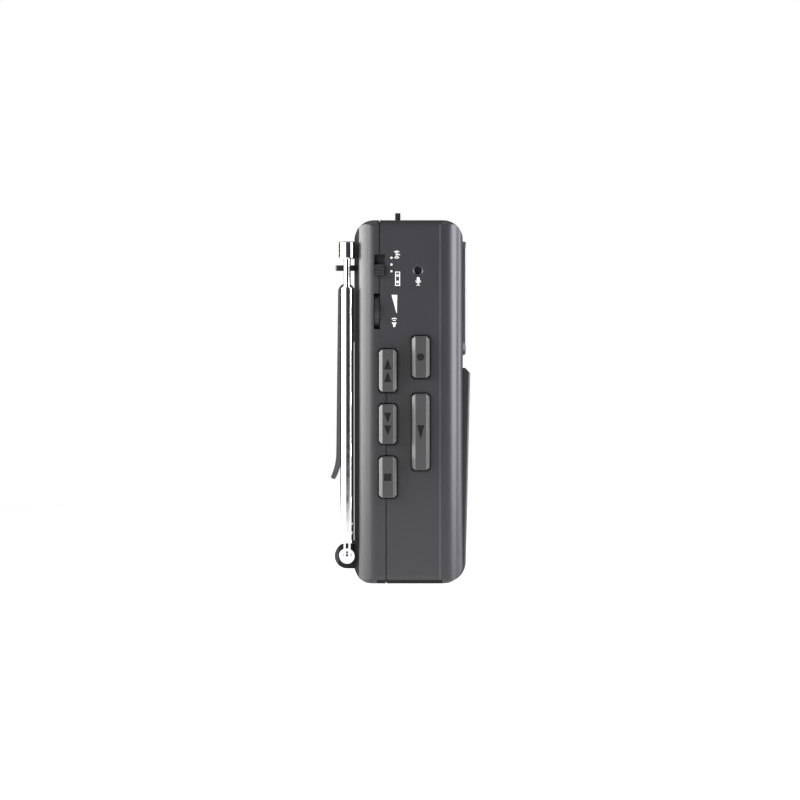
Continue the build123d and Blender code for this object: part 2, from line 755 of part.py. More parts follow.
mic_y = (-30.7, -26.4)
with BuildPart() as mic_boot:
    round_y(mic_axis, 3.9, (mic_y[0] - 0.45, mic_y[1]))
    round_y(mic_axis, 3.0, (mic_y[0], mic_y[1] + beyond), mode=Mode.SUBTRACT)
    round_y(mic_axis, mic_hole_radius, (mic_y[0] - beyond, mic_y[0] + beyond), mode=Mode.SUBTRACT)
save(mic_boot.part, "mic_boot")

with BuildPart() as microphone:
    round_y(mic_axis, 2.98, (mic_y[0] + 0.02, mic_y[1] - 0.4))
    for side in (-1, 1):
        round_y((mic_axis[0] + side * 1.2, mic_axis[1]), 0.3, (mic_y[1] - 0.4, mic_y[1] + 1.6))
save(microphone.part, "microphone")

jack_plug_radius = 1.8
with BuildPart() as earphone_jack:
    block((jack_axis[0] - 3.6, jack_axis[0] + 3.6), (17.0, inner_side - 0.15),
          (jack_axis[1] - 4.0, jack_axis[1] + 4.0))
    round_y(jack_axis, jack_hole_radius - 0.1, (inner_side - 0.15, half_width - 0.2))
    round_y(jack_axis, jack_plug_radius, (18.5, half_width + beyond), mode=Mode.SUBTRACT)
save(earphone_jack.part, "earphone_jack")


# ---------------------------------------------------------------- cassette door
def door_face_x(z):
    """Depth of the door's tapering outer face at a height."""
    foot_x = door_pivot[0] + door_wrap_outer
    rise = (z - door_pivot[1]) / (door_bevel_z - door_pivot[1])
    return foot_x + (door_outer_top_x - foot_x) * rise


door_bevel_z = 68.4
door_bevel_x = 18.1
window_flange = 1.5


def door_form():
    """The solid form of the door: flat front, bevelled top, lower edge round the pivot."""
    def on_arc(radius, angle):
        turn = math.radians(angle)
        return (door_pivot[0] + radius * math.cos(turn), door_pivot[1] + radius * math.sin(turn))

    half_turn = door_wrap_angle / 2
    with BuildPart() as form:
        with BuildSketch(Plane.XZ.offset(-door_half_width)):
            with BuildLine():
                Polyline(
                    on_arc(door_wrap_inner, 0),
                    (door_inner_x, door_pivot[1]),
                    (door_inner_x, door_top_z),
                    (door_bevel_x, door_top_z),
                    (door_outer_top_x, door_bevel_z),
                    on_arc(door_wrap_outer, 0),
                )
                ThreePointArc(on_arc(door_wrap_outer, 0), on_arc(door_wrap_outer, half_turn),
                              on_arc(door_wrap_outer, door_wrap_angle))
                Line(on_arc(door_wrap_outer, door_wrap_angle), on_arc(door_wrap_inner, door_wrap_angle))
                ThreePointArc(on_arc(door_wrap_inner, door_wrap_angle), on_arc(door_wrap_inner, half_turn),
                              on_arc(door_wrap_inner, 0))
            make_face()
        extrude(amount=2 * door_half_width)
    return form.part


door_solid = door_form()
window_span_y = (-window_half_width, window_half_width)

with BuildPart() as cassette_door:
    add(door_solid)
    outer_sides = cassette_door.edges().filter_by(GeomType.LINE).filter_by(
        lambda edge: abs(edge.center().Y) > door_half_width - 0.01
        and edge.center().X > door_face_x(20.0)
        and edge.length > 20
    )
    fillet(outer_sides, 0.8)
    block((door_inner_x - beyond, door_outer_top_x + beyond), window_span_y, window_z, mode=Mode.SUBTRACT)
    for side in (-1, 1):
        y_low, y_high = sorted((side * ear_y[0], side * ear_y[1]))
        add(sector(door_pin_radius, door_wrap_inner + 0.2, ear_low_angle, 60.0, (y_low, y_high)))
        block((door_pivot[0] + ear_hub_radius, door_inner_x + 0.2), (y_low, y_high),
              (door_pivot[1], door_pivot[1] + 6.0))
        round_y(door_pivot, ear_hub_radius, (y_low, y_high))
        round_y(door_pivot, door_pin_radius + 0.05, (y_low - beyond, y_high + beyond), mode=Mode.SUBTRACT)
    # Rail that carries the hold-down spring
    block((door_inner_x - 0.5, door_inner_x), (-5.0, 16.0), (64.5, 67.0))
save(cassette_door.part, "cassette_door")

with BuildPart() as door_window:
    add(door_solid)
    block((door_inner_x, door_outer_top_x + beyond), (window_span_y[0] + 0.05, window_span_y[1] - 0.05),
          (window_z[0] + 0.05, window_z[1] - 0.05), mode=Mode.INTERSECT)
    block((door_inner_x - 0.6, door_inner_x),
          (window_span_y[0] - window_flange, window_span_y[1] + window_flange),
          (window_z[0] - window_flange, window_z[1] + window_flange))
save(door_window.part, "door_window")

with BuildPart() as cassette_spring:
    with BuildSketch(Plane.XZ.offset(-10.0)):
        with BuildLine() as leaf:
            foot = Line((door_inner_x - 0.65, 66.6), (door_inner_x - 0.65, 64.4))
            bow = ThreePointArc(foot @ 1, (door_inner_x - 1.9, 58.5), (door_inner_x - 0.45, 52.6))
        trace(leaf.line, line_width=0.25)
    extrude(amount=9.0)
save(cassette_spring.part, "cassette_spring")

with BuildPart() as door_hinge_pins:
    for side in (-1, 1):
        y_low, y_high = sorted((side * 24.2, side * 28.4))
        round_y(door_pivot, door_pin_radius, (y_low, y_high))
save(door_hinge_pins.part, "door_hinge_pins")


# ---------------------------------------------------------------- tape deck
def on_shaft(name, axis_yz, steps, bore=0.0):
    """A turned piece about an X axis: steps are (radius, x_low, x_high), with one bore."""
    with BuildPart() as turned:
        for radius, x_low, x_high in steps:
            round_x(axis_yz, radius, (x_low, x_high))
        if bore:
            low = min(step[1] for step in steps)
            high = max(step[2] for step in steps)
            round_x(axis_yz, bore, (low - beyond, high + beyond), mode=Mode.SUBTRACT)
    save(turned.part, name)


head_slots_z = (18.0, 44.0)

with BuildPart() as chassis:
    block(chassis_x, (-chassis_half_width, chassis_half_width), chassis_z)
    fillet(chassis.edges().filter_by(Axis.X), 2.0)
    for y, z in chassis_posts:
        round_x((y, z), 0.95, (chassis_x[0] - beyond, chassis_x[1] + beyond), mode=Mode.SUBTRACT)
    round_x(capstan_axis, 2.2, (chassis_x[0] - beyond, chassis_x[1] + beyond), mode=Mode.SUBTRACT)
    for axis in (supply_axis, takeup_axis):
        round_x(axis, 3.4, (chassis_x[0] - beyond, chassis_x[1] + beyond), mode=Mode.SUBTRACT)
    for z in head_slots_z:
        block((chassis_x[0] - beyond, chassis_x[1] + beyond), (-20.9, -15.6), (z - 1.0, z + 1.0),
              mode=Mode.SUBTRACT)
save(chassis.part, "chassis")

with BuildPart() as chassis_screws:
    for y, z in chassis_posts:
        round_x((y, z), chassis_screw_radius, (chassis_x[0] - 0.1, 13.0))
        round_x((y, z), 1.5, (chassis_x[0] - 1.3, chassis_x[0]))
        cut_cross_slot((y, z), (chassis_x[0] - 1.4, chassis_x[0] - 0.8), 1.1, 0.2)
save(chassis_screws.part, "chassis_screws")

reel_bridge_x = (0.4, 1.2)
with BuildPart() as reel_bridge:
    block(reel_bridge_x, (3.5, 7.5), (17.0, 59.0))
    for z_low in (17.0, 57.0):
        block((reel_bridge_x[1], chassis_x[0]), (3.5, 7.5), (z_low, z_low + 2.0))
save(reel_bridge.part, "reel_bridge")

# Fixed pins that the two reels and the idler turn on
reel_pin_radius = 0.8
idler_span = math.dist(capstan_axis, takeup_axis)
idler_radius = (idler_span - capstan_drive_radius - reel_disc_radius) / 2 - idler_gap
idler_share = (capstan_drive_radius + idler_radius + idler_gap) / idler_span
idler_axis = tuple(a + (b - a) * idler_share for a, b in zip(capstan_axis, takeup_axis))
idler_pin_radius = 0.6
with BuildPart() as deck_posts:
    for axis in (supply_axis, takeup_axis):
        round_x(axis, reel_pin_radius, (reel_bridge_x[1], 12.6))
    round_x(idler_axis, idler_pin_radius, (reel_disc_x[0] - 0.6, chassis_x[0]))
    round_x(idler_axis, idler_pin_radius + 0.4, (reel_disc_x[0] - 0.9, reel_disc_x[0] - 0.3))
save(deck_posts.part, "deck_posts")


def make_reel(name, axis_yz):
    """A reel table: drive disc behind the chassis, hub through it, and a finned spindle."""
    y, z = axis_yz
    with BuildPart() as reel:
        round_x(axis_yz, reel_disc_radius, reel_disc_x)
        round_x(axis_yz, 3.0, (reel_disc_x[1], chassis_x[1] + 1.2))
        with BuildSketch(Plane.YZ.offset(chassis_x[1] + 1.2)) as spindle:
            with Locations(axis_yz):
                Circle(1.7)
                with PolarLocations(1.6, 6):
                    Rectangle(1.4, 0.7)
        extrude(amount=3.6)
        round_x(axis_yz, 1.7, (chassis_x[1] + 4.8, chassis_x[1] + 5.4))
        round_x(axis_yz, reel_pin_radius + 0.05, (0, 20), mode=Mode.SUBTRACT)
    save(reel.part, name)


make_reel("supply_reel", supply_axis)
make_reel("takeup_reel", takeup_axis)

on_shaft("capstan_bush", capstan_axis, ((2.2, chassis_x[0], chassis_x[1]), (3.2, 5.95, chassis_x[0])),
         bore=capstan_radius + 0.03)

# Capstan with its drive roller, and the flywheel pressed on it
with BuildPart() as capstan:
    round_x(capstan_axis, capstan_radius, (flywheel_x[0] - 0.4, 16.0))
    round_x(capstan_axis, capstan_drive_radius, (reel_disc_x[0], reel_disc_x[1]))
    fillet(capstan.faces().sort_by(Axis.X)[-1].edges(), 0.3)
save(capstan.part, "capstan")

belt_x = (flywheel_x[0] + flywheel_x[1]) / 2
groove_depth = 0.9
with BuildPart() as flywheel:
    round_x(capstan_axis, flywheel_radius, flywheel_x)
    round_x(capstan_axis, 3.0, (flywheel_x[1], 3.2))
    with BuildSketch(Plane.YZ.offset(belt_x - belt_width / 2 - 0.1)) as rim:
        with Locations(capstan_axis):
            Circle(flywheel_radius + 1)
            Circle(flywheel_radius - groove_depth, mode=Mode.SUBTRACT)
    extrude(amount=belt_width + 0.2, mode=Mode.SUBTRACT)
    round_x(capstan_axis, capstan_radius, (flywheel_x[0] - beyond, 4), mode=Mode.SUBTRACT)
save(flywheel.part, "flywheel")

with BuildPart() as motor:
    round_x(motor_axis, motor_radius, (-2.6, chassis_x[0] - 0.05))
    fillet(motor.faces().sort_by(Axis.X)[0].edges(), 1.0)
    round_x(motor_axis, 2.2, (-3.3, -2.6))
save(motor.part, "motor")

with BuildPart() as motor_pulley:
    round_x(motor_axis, pulley_radius + groove_depth, (belt_x - 1.3, belt_x + 1.3))
    with BuildSketch(Plane.YZ.offset(belt_x - belt_width / 2 - 0.1)) as pulley_rim:
        with Locations(motor_axis):
            Circle(pulley_radius + 2)
            Circle(pulley_radius, mode=Mode.SUBTRACT)
    extrude(amount=belt_width + 0.2, mode=Mode.SUBTRACT)
    round_x(motor_axis, 0.7, (belt_x + 1.3, -3.35))
save(motor_pulley.part, "motor_pulley")


def belt_outline(grow):
    """The belt's path round both pulleys, at a distance outside their seats, as a sketch."""
    big = flywheel_radius - groove_depth + belt_seat_gap + grow
    small = pulley_radius + belt_seat_gap + grow
    dy = motor_axis[0] - capstan_axis[0]
    dz = motor_axis[1] - capstan_axis[1]
    reach = math.hypot(dy, dz)
    heading = math.atan2(dz, dy)
    spread = math.acos((big - small) / reach)

    def on_wheel(axis, radius, angle):
        return (axis[0] + radius * math.cos(angle), axis[1] + radius * math.sin(angle))

    left = heading + spread
    right = heading - spread
    with BuildSketch(Plane.YZ.offset(belt_x - belt_width / 2)) as outline:
        with BuildLine():
            Line(on_wheel(capstan_axis, big, right), on_wheel(motor_axis, small, right))
            ThreePointArc(on_wheel(motor_axis, small, right), on_wheel(motor_axis, small, heading),
                          on_wheel(motor_axis, small, left))
            Line(on_wheel(motor_axis, small, left), on_wheel(capstan_axis, big, left))
            ThreePointArc(on_wheel(capstan_axis, big, left), on_wheel(capstan_axis, big, heading + math.pi),
                          on_wheel(capstan_axis, big, right))
        make_face()
    return outline.sketch


with BuildPart() as drive_belt:
    extrude(belt_outline(belt_thickness), amount=belt_width)
    extrude(belt_outline(0.0), amount=belt_width, mode=Mode.SUBTRACT)
save(drive_belt.part, "drive_belt")

on_shaft("idler_wheel", idler_axis, ((idler_radius, *reel_disc_x),), bore=idler_pin_radius + 0.05)

plate_x = (chassis_x[1] + 0.3, chassis_x[1] + 1.1)
with BuildPart() as head_plate:
    with BuildSketch(Plane.YZ.offset(plate_x[0])) as plan:
        with BuildLine():
            Polyline((-22.8, 15.2), (-13.4, 15.2), (-13.4, 28.6), (-17.0, 31.0), (-17.0, 32.6),
                     (-13.2, 33.6), (-13.2, 43.0), (-16.6, 44.4), (-16.6, 59.0), (-22.8, 59.0), close=True)
        make_face()
        fillet(plan.vertices(), 0.8)
    extrude(amount=plate_x[1] - plate_x[0])
    for z in head_slots_z:
        round_x((-19.3, z), 0.8, (chassis_x[0] - 0.4, plate_x[0]))
save(head_plate.part, "head_plate")

with BuildPart() as record_head:
    block((plate_x[1], plate_x[1] + 5.6), (-17.0, -12.6), (35.4, 41.2))
    fillet(record_head.faces().sort_by(Axis.Y)[-1].edges().filter_by(Axis.X), 1.2)
    block((plate_x[1], plate_x[1] + 0.5), (-18.6, -16.5), (34.4, 42.2))
save(record_head.part, "record_head")

with BuildPart() as erase_head:
    block((plate_x[1], plate_x[1] + 5.0), (-20.5, -17.4), (46.4, 49.8))
    fillet(erase_head.faces().sort_by(Axis.Y)[-1].edges().filter_by(Axis.X), 0.8)
save(erase_head.part, "erase_head")

on_shaft("pinch_roller", roller_axis, ((roller_radius, plate_x[1] + 0.4, plate_x[1] + 5.2),), bore=0.75)
on_shaft("roller_pin", roller_axis, (
    (0.7, plate_x[1], plate_x[1] + 5.6),
    (1.1, plate_x[1] + 5.6, plate_x[1] + 6.0),
))


# ---------------------------------------------------------------- batteries and their door
with BuildPart() as battery_door:
    add(hollow_form.part)
    add(battery_door_region(0), mode=Mode.INTERSECT)
    add(rear_region(seam_gap / 2), mode=Mode.INTERSECT)
    for groove in range(5):
        block((rear_x - beyond, rear_x + seam_groove_depth), (9.0, 23.0),
              (55.0 + 1.6 * groove, 55.8 + 1.6 * groove),
              mode=Mode.SUBTRACT)
save(battery_door.part, "battery_door")

with BuildPart() as batteries:
    for y, turned in zip(battery_ys, (1, -1)):
        low, high = battery_z
        round_z((battery_x, y), battery_radius, battery_z)
        tip = (high, high + 1.2) if turned > 0 else (low - 1.2, low)
        round_z((battery_x, y), 2.7, tip)
save(batteries.part, "batteries")

with BuildPart() as battery_contacts:
    block((-13.5, -3.0), (2.6, 15.2), (compartment_top_z[0] - 0.45, compartment_top_z[0] - 0.05))
    block((-13.5, -3.0), (17.2, 28.0), (compartment_top_z[0] - 0.45, compartment_top_z[0] - 0.05))
    block((-13.5, -3.0), (2.6, 28.0), (compartment_low_z[1] + 0.05, compartment_low_z[1] + 0.45))
save(battery_contacts.part, "battery_contacts")


# ---------------------------------------------------------------- belt clip and case screws
clip_half_width = 10.0
clip_thickness = 1.6
clip_bend_z = 95.4
clip_leaf_end = (-23.4, 42.0)
clip_tip = (-25.4, 33.6)
with BuildPart() as belt_clip:
    half = clip_thickness / 2
    foot_x = rear_x - half
    leaf_x = rear_x - 5.6 + half
    with BuildSketch(Plane.XZ.offset(-clip_half_width)) as side_view:
        with BuildLine() as spine:
            rise = Line((foot_x, 79.0), (foot_x, clip_bend_z))
            bend = TangentArc(rise @ 1, (leaf_x, clip_bend_z), tangent=rise % 1)
            leaf_line = Line(bend @ 1, clip_leaf_end)
            curl = TangentArc(leaf_line @ 1, clip_tip, tangent=leaf_line % 1)
        trace(spine.line, line_width=clip_thickness)
    extrude(amount=2 * clip_half_width)
    fillet(belt_clip.faces().sort_by(Axis.Z)[0].edges().filter_by(Axis.Y), 0.5)
    for y, z in clip_screws:
        round_x((y, z), clip_screw_radius + 0.4, (rear_x - clip_thickness - beyond, rear_x + beyond),
                mode=Mode.SUBTRACT)
save(belt_clip.part, "belt_clip")

with BuildPart() as clip_fasteners:
    for y, z in clip_screws:
        round_x((y, z), clip_screw_radius, (rear_x - clip_thickness, clip_screw_end_x))
        round_x((y, z), 2 * clip_screw_radius, (rear_x - clip_thickness - 0.6, rear_x - clip_thickness))
save(clip_fasteners.part, "belt_clip_screws")

with BuildPart() as case_screws:
    for y, z in case_posts:
        round_x((y, z), case_screw_shank, (case_head_seat_x, case_screw_tip_x))
        round_x((y, z), case_screw_head, (case_head_seat_x - 1.4, case_head_seat_x))
        cut_cross_slot((y, z), (case_head_seat_x - 1.5, case_head_seat_x - 0.7), 1.3, 0.25)
save(case_screws.part, "case_screws")


# ---------------------------------------------------------------- antenna
pin_radius = 0.45
tongue_half = 0.35
tine_x = (0.43, 1.12)
disc_y = (stud_boss_y[0] - 0.3, stud_boss_y[0] + 0.8)

with BuildPart() as antenna_stud:
    round_y((antenna_x, swivel_z), stud_disc_radius, disc_y)
    fillet(antenna_stud.faces().sort_by(Axis.Y)[0].edges(), 0.25)
    round_y((antenna_x, swivel_z), stud_radius, (disc_y[1], stud_boss_y[1] + 0.2))
    round_y((antenna_x, swivel_z), stud_radius + 0.6, (stud_boss_y[1] + 0.2, stud_boss_y[1] + 0.7))
    with BuildSketch(Plane.YZ.offset(antenna_x - tongue_half)):
        with Locations((antenna_y, swivel_z)):
            Circle(1.4)
        with Locations(((antenna_y + disc_y[0] + 0.2) / 2, swivel_z)):
            Rectangle(disc_y[0] + 0.2 - antenna_y, 2.8)
        with Locations((antenna_y, swivel_z)):
            Circle(pin_radius + 0.03, mode=Mode.SUBTRACT)
    extrude(amount=2 * tongue_half)
save(antenna_stud.part, "antenna_stud")

with BuildPart() as antenna_pin:
    round_x((antenna_y, swivel_z), pin_radius, (antenna_x - 1.3, antenna_x + 1.3))
    for side in (-1, 1):
        x_low, x_high = sorted((antenna_x + side * 1.17, antenna_x + side * 1.4))
        round_x((antenna_y, swivel_z), 0.75, (x_low, x_high))
save(antenna_pin.part, "antenna_pin")

section_clearance = 0.05
section_walls = (0.35, 0.28, 0.28)


def tube_section(outer, inner, low, high, mode=Mode.ADD):
    """A round tube on the antenna's axis, drawn into the current part."""
    round_z((antenna_x, antenna_y), outer, (low, high), mode=mode)
    round_z((antenna_x, antenna_y), inner, (low + 1.0, high + 1.0), mode=Mode.SUBTRACT)


middle_radius = tube_radius - section_walls[0] - section_clearance
inner_radius = middle_radius - section_walls[1] - section_clearance
with BuildPart() as antenna_tube:
    tube_section(tube_radius, tube_radius - section_walls[0], tube_bottom_z, tube_top_z)
    round_z((antenna_x, antenna_y), tube_radius + 0.2, (tube_bottom_z, tube_bottom_z + 0.9))
    for side in (-1, 1):
        with BuildSketch(Plane.YZ.offset(antenna_x + side * (tine_x[0] + tine_x[1]) / 2)):
            with Locations((antenna_y, swivel_z)):
                Circle(1.45)
            with Locations((antenna_y, (swivel_z + tube_bottom_z) / 2 + 0.1)):
                Rectangle(2.9, tube_bottom_z - swivel_z + 0.2)
            with Locations((antenna_y, swivel_z)):
                Circle(pin_radius, mode=Mode.SUBTRACT)
        extrude(amount=(tine_x[1] - tine_x[0]) / 2, both=True)
    for z in (16.4, 19.3):
        for turn in range(4):
            angle = math.radians(45 + 90 * turn)
            reach = tube_radius + 0.28
            with Locations((antenna_x + reach * math.cos(angle), antenna_y + reach * math.sin(angle), z)):
                Sphere(0.55, mode=Mode.SUBTRACT)
save(antenna_tube.part, "antenna_tube")

with BuildPart() as antenna_middle:
    tube_section(middle_radius, middle_radius - section_walls[1], tube_bottom_z + 1.6, tube_top_z + 0.25)
save(antenna_middle.part, "antenna_middle")

with BuildPart() as antenna_inner:
    tube_section(inner_radius, inner_radius - section_walls[2], tube_bottom_z + 3.2, tube_top_z + 0.5)
save(antenna_inner.part, "antenna_inner")

with BuildPart() as antenna_rod:
    round_z((antenna_x, antenna_y), inner_radius - section_walls[2] - section_clearance,
            (tube_bottom_z + 4.8, tube_top_z + 0.3))
    round_z((antenna_x, antenna_y), rod_radius - 0.05, (tube_top_z + 0.3, cap_z[0] + 2.5))
save(antenna_rod.part, "antenna_rod")

with BuildPart() as antenna_cap:
    round_z((antenna_x, antenna_y), cap_radius, cap_z)
    fillet(antenna_cap.faces().sort_by(Axis.Z)[-1].edges(), 0.5)
    chamfer(antenna_cap.faces().sort_by(Axis.Z)[0].edges(), 0.3)
    round_z((antenna_x, antenna_y), rod_radius - 0.05, (cap_z[0] - beyond, cap_z[0] + 2.5),
            mode=Mode.SUBTRACT)
save(antenna_cap.part, "antenna_cap")
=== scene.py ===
import json
import math

import bmesh
import bpy
from mathutils import Matrix, Vector


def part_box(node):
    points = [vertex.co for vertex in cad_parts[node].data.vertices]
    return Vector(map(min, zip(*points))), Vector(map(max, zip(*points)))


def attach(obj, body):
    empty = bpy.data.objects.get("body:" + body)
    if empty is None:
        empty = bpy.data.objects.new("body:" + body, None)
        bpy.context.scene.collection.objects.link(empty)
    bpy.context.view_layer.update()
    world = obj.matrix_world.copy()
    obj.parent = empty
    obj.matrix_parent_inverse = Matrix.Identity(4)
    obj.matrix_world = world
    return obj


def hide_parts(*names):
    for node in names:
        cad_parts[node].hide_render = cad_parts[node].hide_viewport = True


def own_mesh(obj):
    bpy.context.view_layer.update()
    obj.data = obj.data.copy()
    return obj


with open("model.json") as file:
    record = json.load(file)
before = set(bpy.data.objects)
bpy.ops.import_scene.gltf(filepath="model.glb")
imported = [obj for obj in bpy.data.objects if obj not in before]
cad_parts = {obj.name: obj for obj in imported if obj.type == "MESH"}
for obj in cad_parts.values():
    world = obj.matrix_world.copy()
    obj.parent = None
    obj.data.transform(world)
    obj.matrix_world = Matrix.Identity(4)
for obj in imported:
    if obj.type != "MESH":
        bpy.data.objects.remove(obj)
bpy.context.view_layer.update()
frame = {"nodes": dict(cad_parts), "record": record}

MM = 0.001
KEYS = ("rewind_key", "fast_forward_key", "stop_key", "record_key", "play_key")
# Where painted shade fills the sunk marks on the keys: half width of a mark column, and the depth
# below the key top over which the shade fades in.
KEY_MARK_HALF = 1.3 * MM
KEY_MARK_DEPTH = (0.1 * MM, 0.3 * MM)
# Depths below the key side at which painted shade fills the key wells, and the half width of the key
# field that holds them.
WELL_SHADE_DEPTH = (0.5 * MM, 0.15 * MM)
KEY_FIELD_HALF = 10.6 * MM
# Distance from the front seam over which the painted highlight fades out.
SEAM_HIGHLIGHT_FADE = (0.10 * MM, 0.22 * MM)
# Reach from the antenna tube's axis of the painted shade in the groove, and the width of its soft
# edge.
GROOVE_REACH = 4.15 * MM
GROOVE_BLUR = 0.1 * MM
nodes = frame["nodes"]


# ---------------------------------------------------------------- camera
CAMERA_LENS = 150.0
CAMERA_DISTANCE = 1.080
scene = bpy.context.scene
centre_low, centre_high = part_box("centre_shell")
key_side_y = centre_low.y
case_height = centre_high.z
camera_data = bpy.data.cameras.new("camera")
camera_data.lens = CAMERA_LENS
camera_data.sensor_width = 36.0
camera = bpy.data.objects.new("camera", camera_data)
camera.location = (-3.1 * MM, key_side_y - CAMERA_DISTANCE, case_height / 2 + 0.6 * MM)
camera.rotation_euler = (math.radians(90), 0, 0)
scene.collection.objects.link(camera)
scene.camera = camera


# ---------------------------------------------------------------- node helpers
class Shader:
    """One material's node tree, with short calls for the nodes that the materials share."""

    def __init__(self, name, colour, roughness, metallic=0.0, **sockets):
        self.material = bpy.data.materials.new(name)
        self.material.use_nodes = True
        self.tree = self.material.node_tree
        self.surface = self.tree.nodes["Principled BSDF"]
        self.surface.inputs["Base Color"].default_value = (*colour, 1)
        self.surface.inputs["Roughness"].default_value = roughness
        self.surface.inputs["Metallic"].default_value = metallic
        for socket, value in sockets.items():
            self.surface.inputs[socket.replace("_", " ")].default_value = value
        self.place = self.add("ShaderNodeTexCoord").outputs["Object"]
        self.height = None

    def add(self, kind, **settings):
        node = self.tree.nodes.new(kind)
        for key, value in settings.items():
            setattr(node, key, value)
        return node

    def link(self, source, target):
        self.tree.links.new(source, target)

    def stretched(self, scale):
        """The place, scaled separately along each axis."""
        mapping = self.add("ShaderNodeMapping")
        mapping.inputs["Scale"].default_value = scale
        self.link(self.place, mapping.inputs["Vector"])
        return mapping.outputs["Vector"]

    def noise(self, size, detail=2.0, roughness=0.5, vector=None):
        """Noise whose features are about size metres across."""
        node = self.add("ShaderNodeTexNoise")
        node.inputs["Scale"].default_value = 1 / size
        node.inputs["Detail"].default_value = detail
        node.inputs["Roughness"].default_value = roughness
        self.link(vector or self.place, node.inputs["Vector"])
        return node.outputs["Fac"]

    def cells(self, size, feature="F1", vector=None):
        node = self.add("ShaderNodeTexVoronoi", feature=feature)
        node.inputs["Scale"].default_value = 1 / size
        self.link(vector or self.place, node.inputs["Vector"])
        return node.outputs["Distance"]

    def spread(self, source, low, high, start=0.0, end=1.0):
        """Map a value from start..end to low..high."""
        node = self.add("ShaderNodeMapRange")
        node.inputs["From Min"].default_value = start
        node.inputs["From Max"].default_value = end
        node.inputs["To Min"].default_value = low
        node.inputs["To Max"].default_value = high
        self.link(source, node.inputs["Value"])
        return node.outputs["Result"]

    def math(self, operation, first, second):
        node = self.add("ShaderNodeMath", operation=operation)
        for socket, value in zip(node.inputs, (first, second)):
            if isinstance(value, (int, float)):
                socket.default_value = value
            else:
                self.link(value, socket)
        return node.outputs["Value"]

    def blend(self, factor, first, second):
        """Mix two colours, each a triple or a socket."""
        node = self.add("ShaderNodeMix", data_type="RGBA")
        self.link(factor, node.inputs["Factor"])
        for socket, value in ((node.inputs[6], first), (node.inputs[7], second)):
            if isinstance(value, tuple):
                socket.default_value = (*value, 1)
            else:
                self.link(value, socket)
        return node.outputs[2]

    def bump(self, source, depth, strength=1.0):
        """Add a layer of relief, depth metres high, on top of the earlier layers."""
        node = self.add("ShaderNodeBump")
        node.inputs["Distance"].default_value = depth
        node.inputs["Strength"].default_value = strength
        self.link(source, node.inputs["Height"])
        if self.height is not None:
            self.link(self.height, node.inputs["Normal"])
        self.height = node.outputs["Normal"]
        self.link(self.height, self.surface.inputs["Normal"])

    def colour(self, socket):
        self.link(socket, self.surface.inputs["Base Color"])

    def roughness(self, socket):
        self.link(socket, self.surface.inputs["Roughness"])


def tint(colour, factor):
    return tuple(min(channel * factor, 1.0) for channel in colour)


# ---------------------------------------------------------------- materials
def plastic_base(name, colour, roughness, grain=0.16 * MM, depth=0.006 * MM, wear=0.25):
    """Injection-moulded plastic: fine spark-eroded grain, handling sheen, faint rubbed edges."""
    shader = Shader(name, colour, roughness, IOR=1.5)
    cloud = shader.noise(14 * MM, 3.0)
    base = shader.blend(cloud, tint(colour, 0.9), tint(colour, 1.1))
    if wear:
        round_edge = shader.add("ShaderNodeBevel", samples=4)
        round_edge.inputs["Radius"].default_value = 0.35 * MM
        plain = shader.add("ShaderNodeNewGeometry")
        turned = shader.add("ShaderNodeVectorMath", operation="DOT_PRODUCT")
        shader.link(round_edge.outputs["Normal"], turned.inputs[0])
        shader.link(plain.outputs["Normal"], turned.inputs[1])
        edge = shader.spread(turned.outputs["Value"], 1.0, 0.0, 0.75, 0.98)
        rub = shader.spread(shader.noise(3 * MM, 4.0), 0.0, wear, 0.35, 0.75)
        base = shader.blend(shader.math("MULTIPLY", edge, rub), base, tint(colour, 3.2))
    shader.colour(base)
    smear = shader.noise(11 * MM, 2.0, 0.5, shader.stretched((1.0, 1.0, 0.45)))
    rough = shader.spread(smear, roughness - 0.03, roughness + 0.03)
    shader.roughness(rough)
    shader.bump(shader.cells(grain), depth)
    shader.bump(shader.noise(grain * 0.6, 2.0), depth * 0.7)
    shader.bump(shader.noise(9 * MM, 1.0), 0.01 * MM)
    return shader, base, rough


def moulded_plastic(name, colour, roughness):
    return plastic_base(name, colour, roughness)[0].material


def key_cap_plastic(name, colour, roughness):
    """Key plastic whose sunk function marks are made rough and darkened with painted shade."""
    shader, base, rough = plastic_base(name, colour, roughness)
    across = shader.add("ShaderNodeSeparateXYZ")
    shader.link(shader.place, across.inputs["Vector"])
    columns = {round(sum(corner.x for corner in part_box(key)) / 2, 4) for key in KEYS}
    in_column = 0.0
    for column in sorted(columns):
        offset = shader.math("ABSOLUTE", shader.math("SUBTRACT", across.outputs["X"], column), 0.0)
        in_column = shader.math("ADD", shader.math("LESS_THAN", offset, KEY_MARK_HALF), in_column)
    top_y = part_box(KEYS[0])[0].y
    sunk = shader.spread(across.outputs["Y"], 0.0, 1.0, *[top_y + depth for depth in KEY_MARK_DEPTH])
    plain = shader.add("ShaderNodeNewGeometry")
    facing = shader.add("ShaderNodeVectorMath", operation="DOT_PRODUCT")
    shader.link(plain.outputs["Normal"], facing.inputs[0])
    facing.inputs[1].default_value = (0, -1, 0)
    floor = shader.math("GREATER_THAN", facing.outputs["Value"], 0.9)
    # Painted shade: the floors of the sunk marks that face out of the key side are darkened almost to
    # black.
    mark = shader.math("MULTIPLY", shader.math("MULTIPLY", in_column, sunk), floor)
    shader.colour(shader.blend(mark, base, tint(colour, 0.12)))
    shader.roughness(shader.math("MAXIMUM", rough, shader.spread(mark, 0.0, 0.9)))
    return shader.material


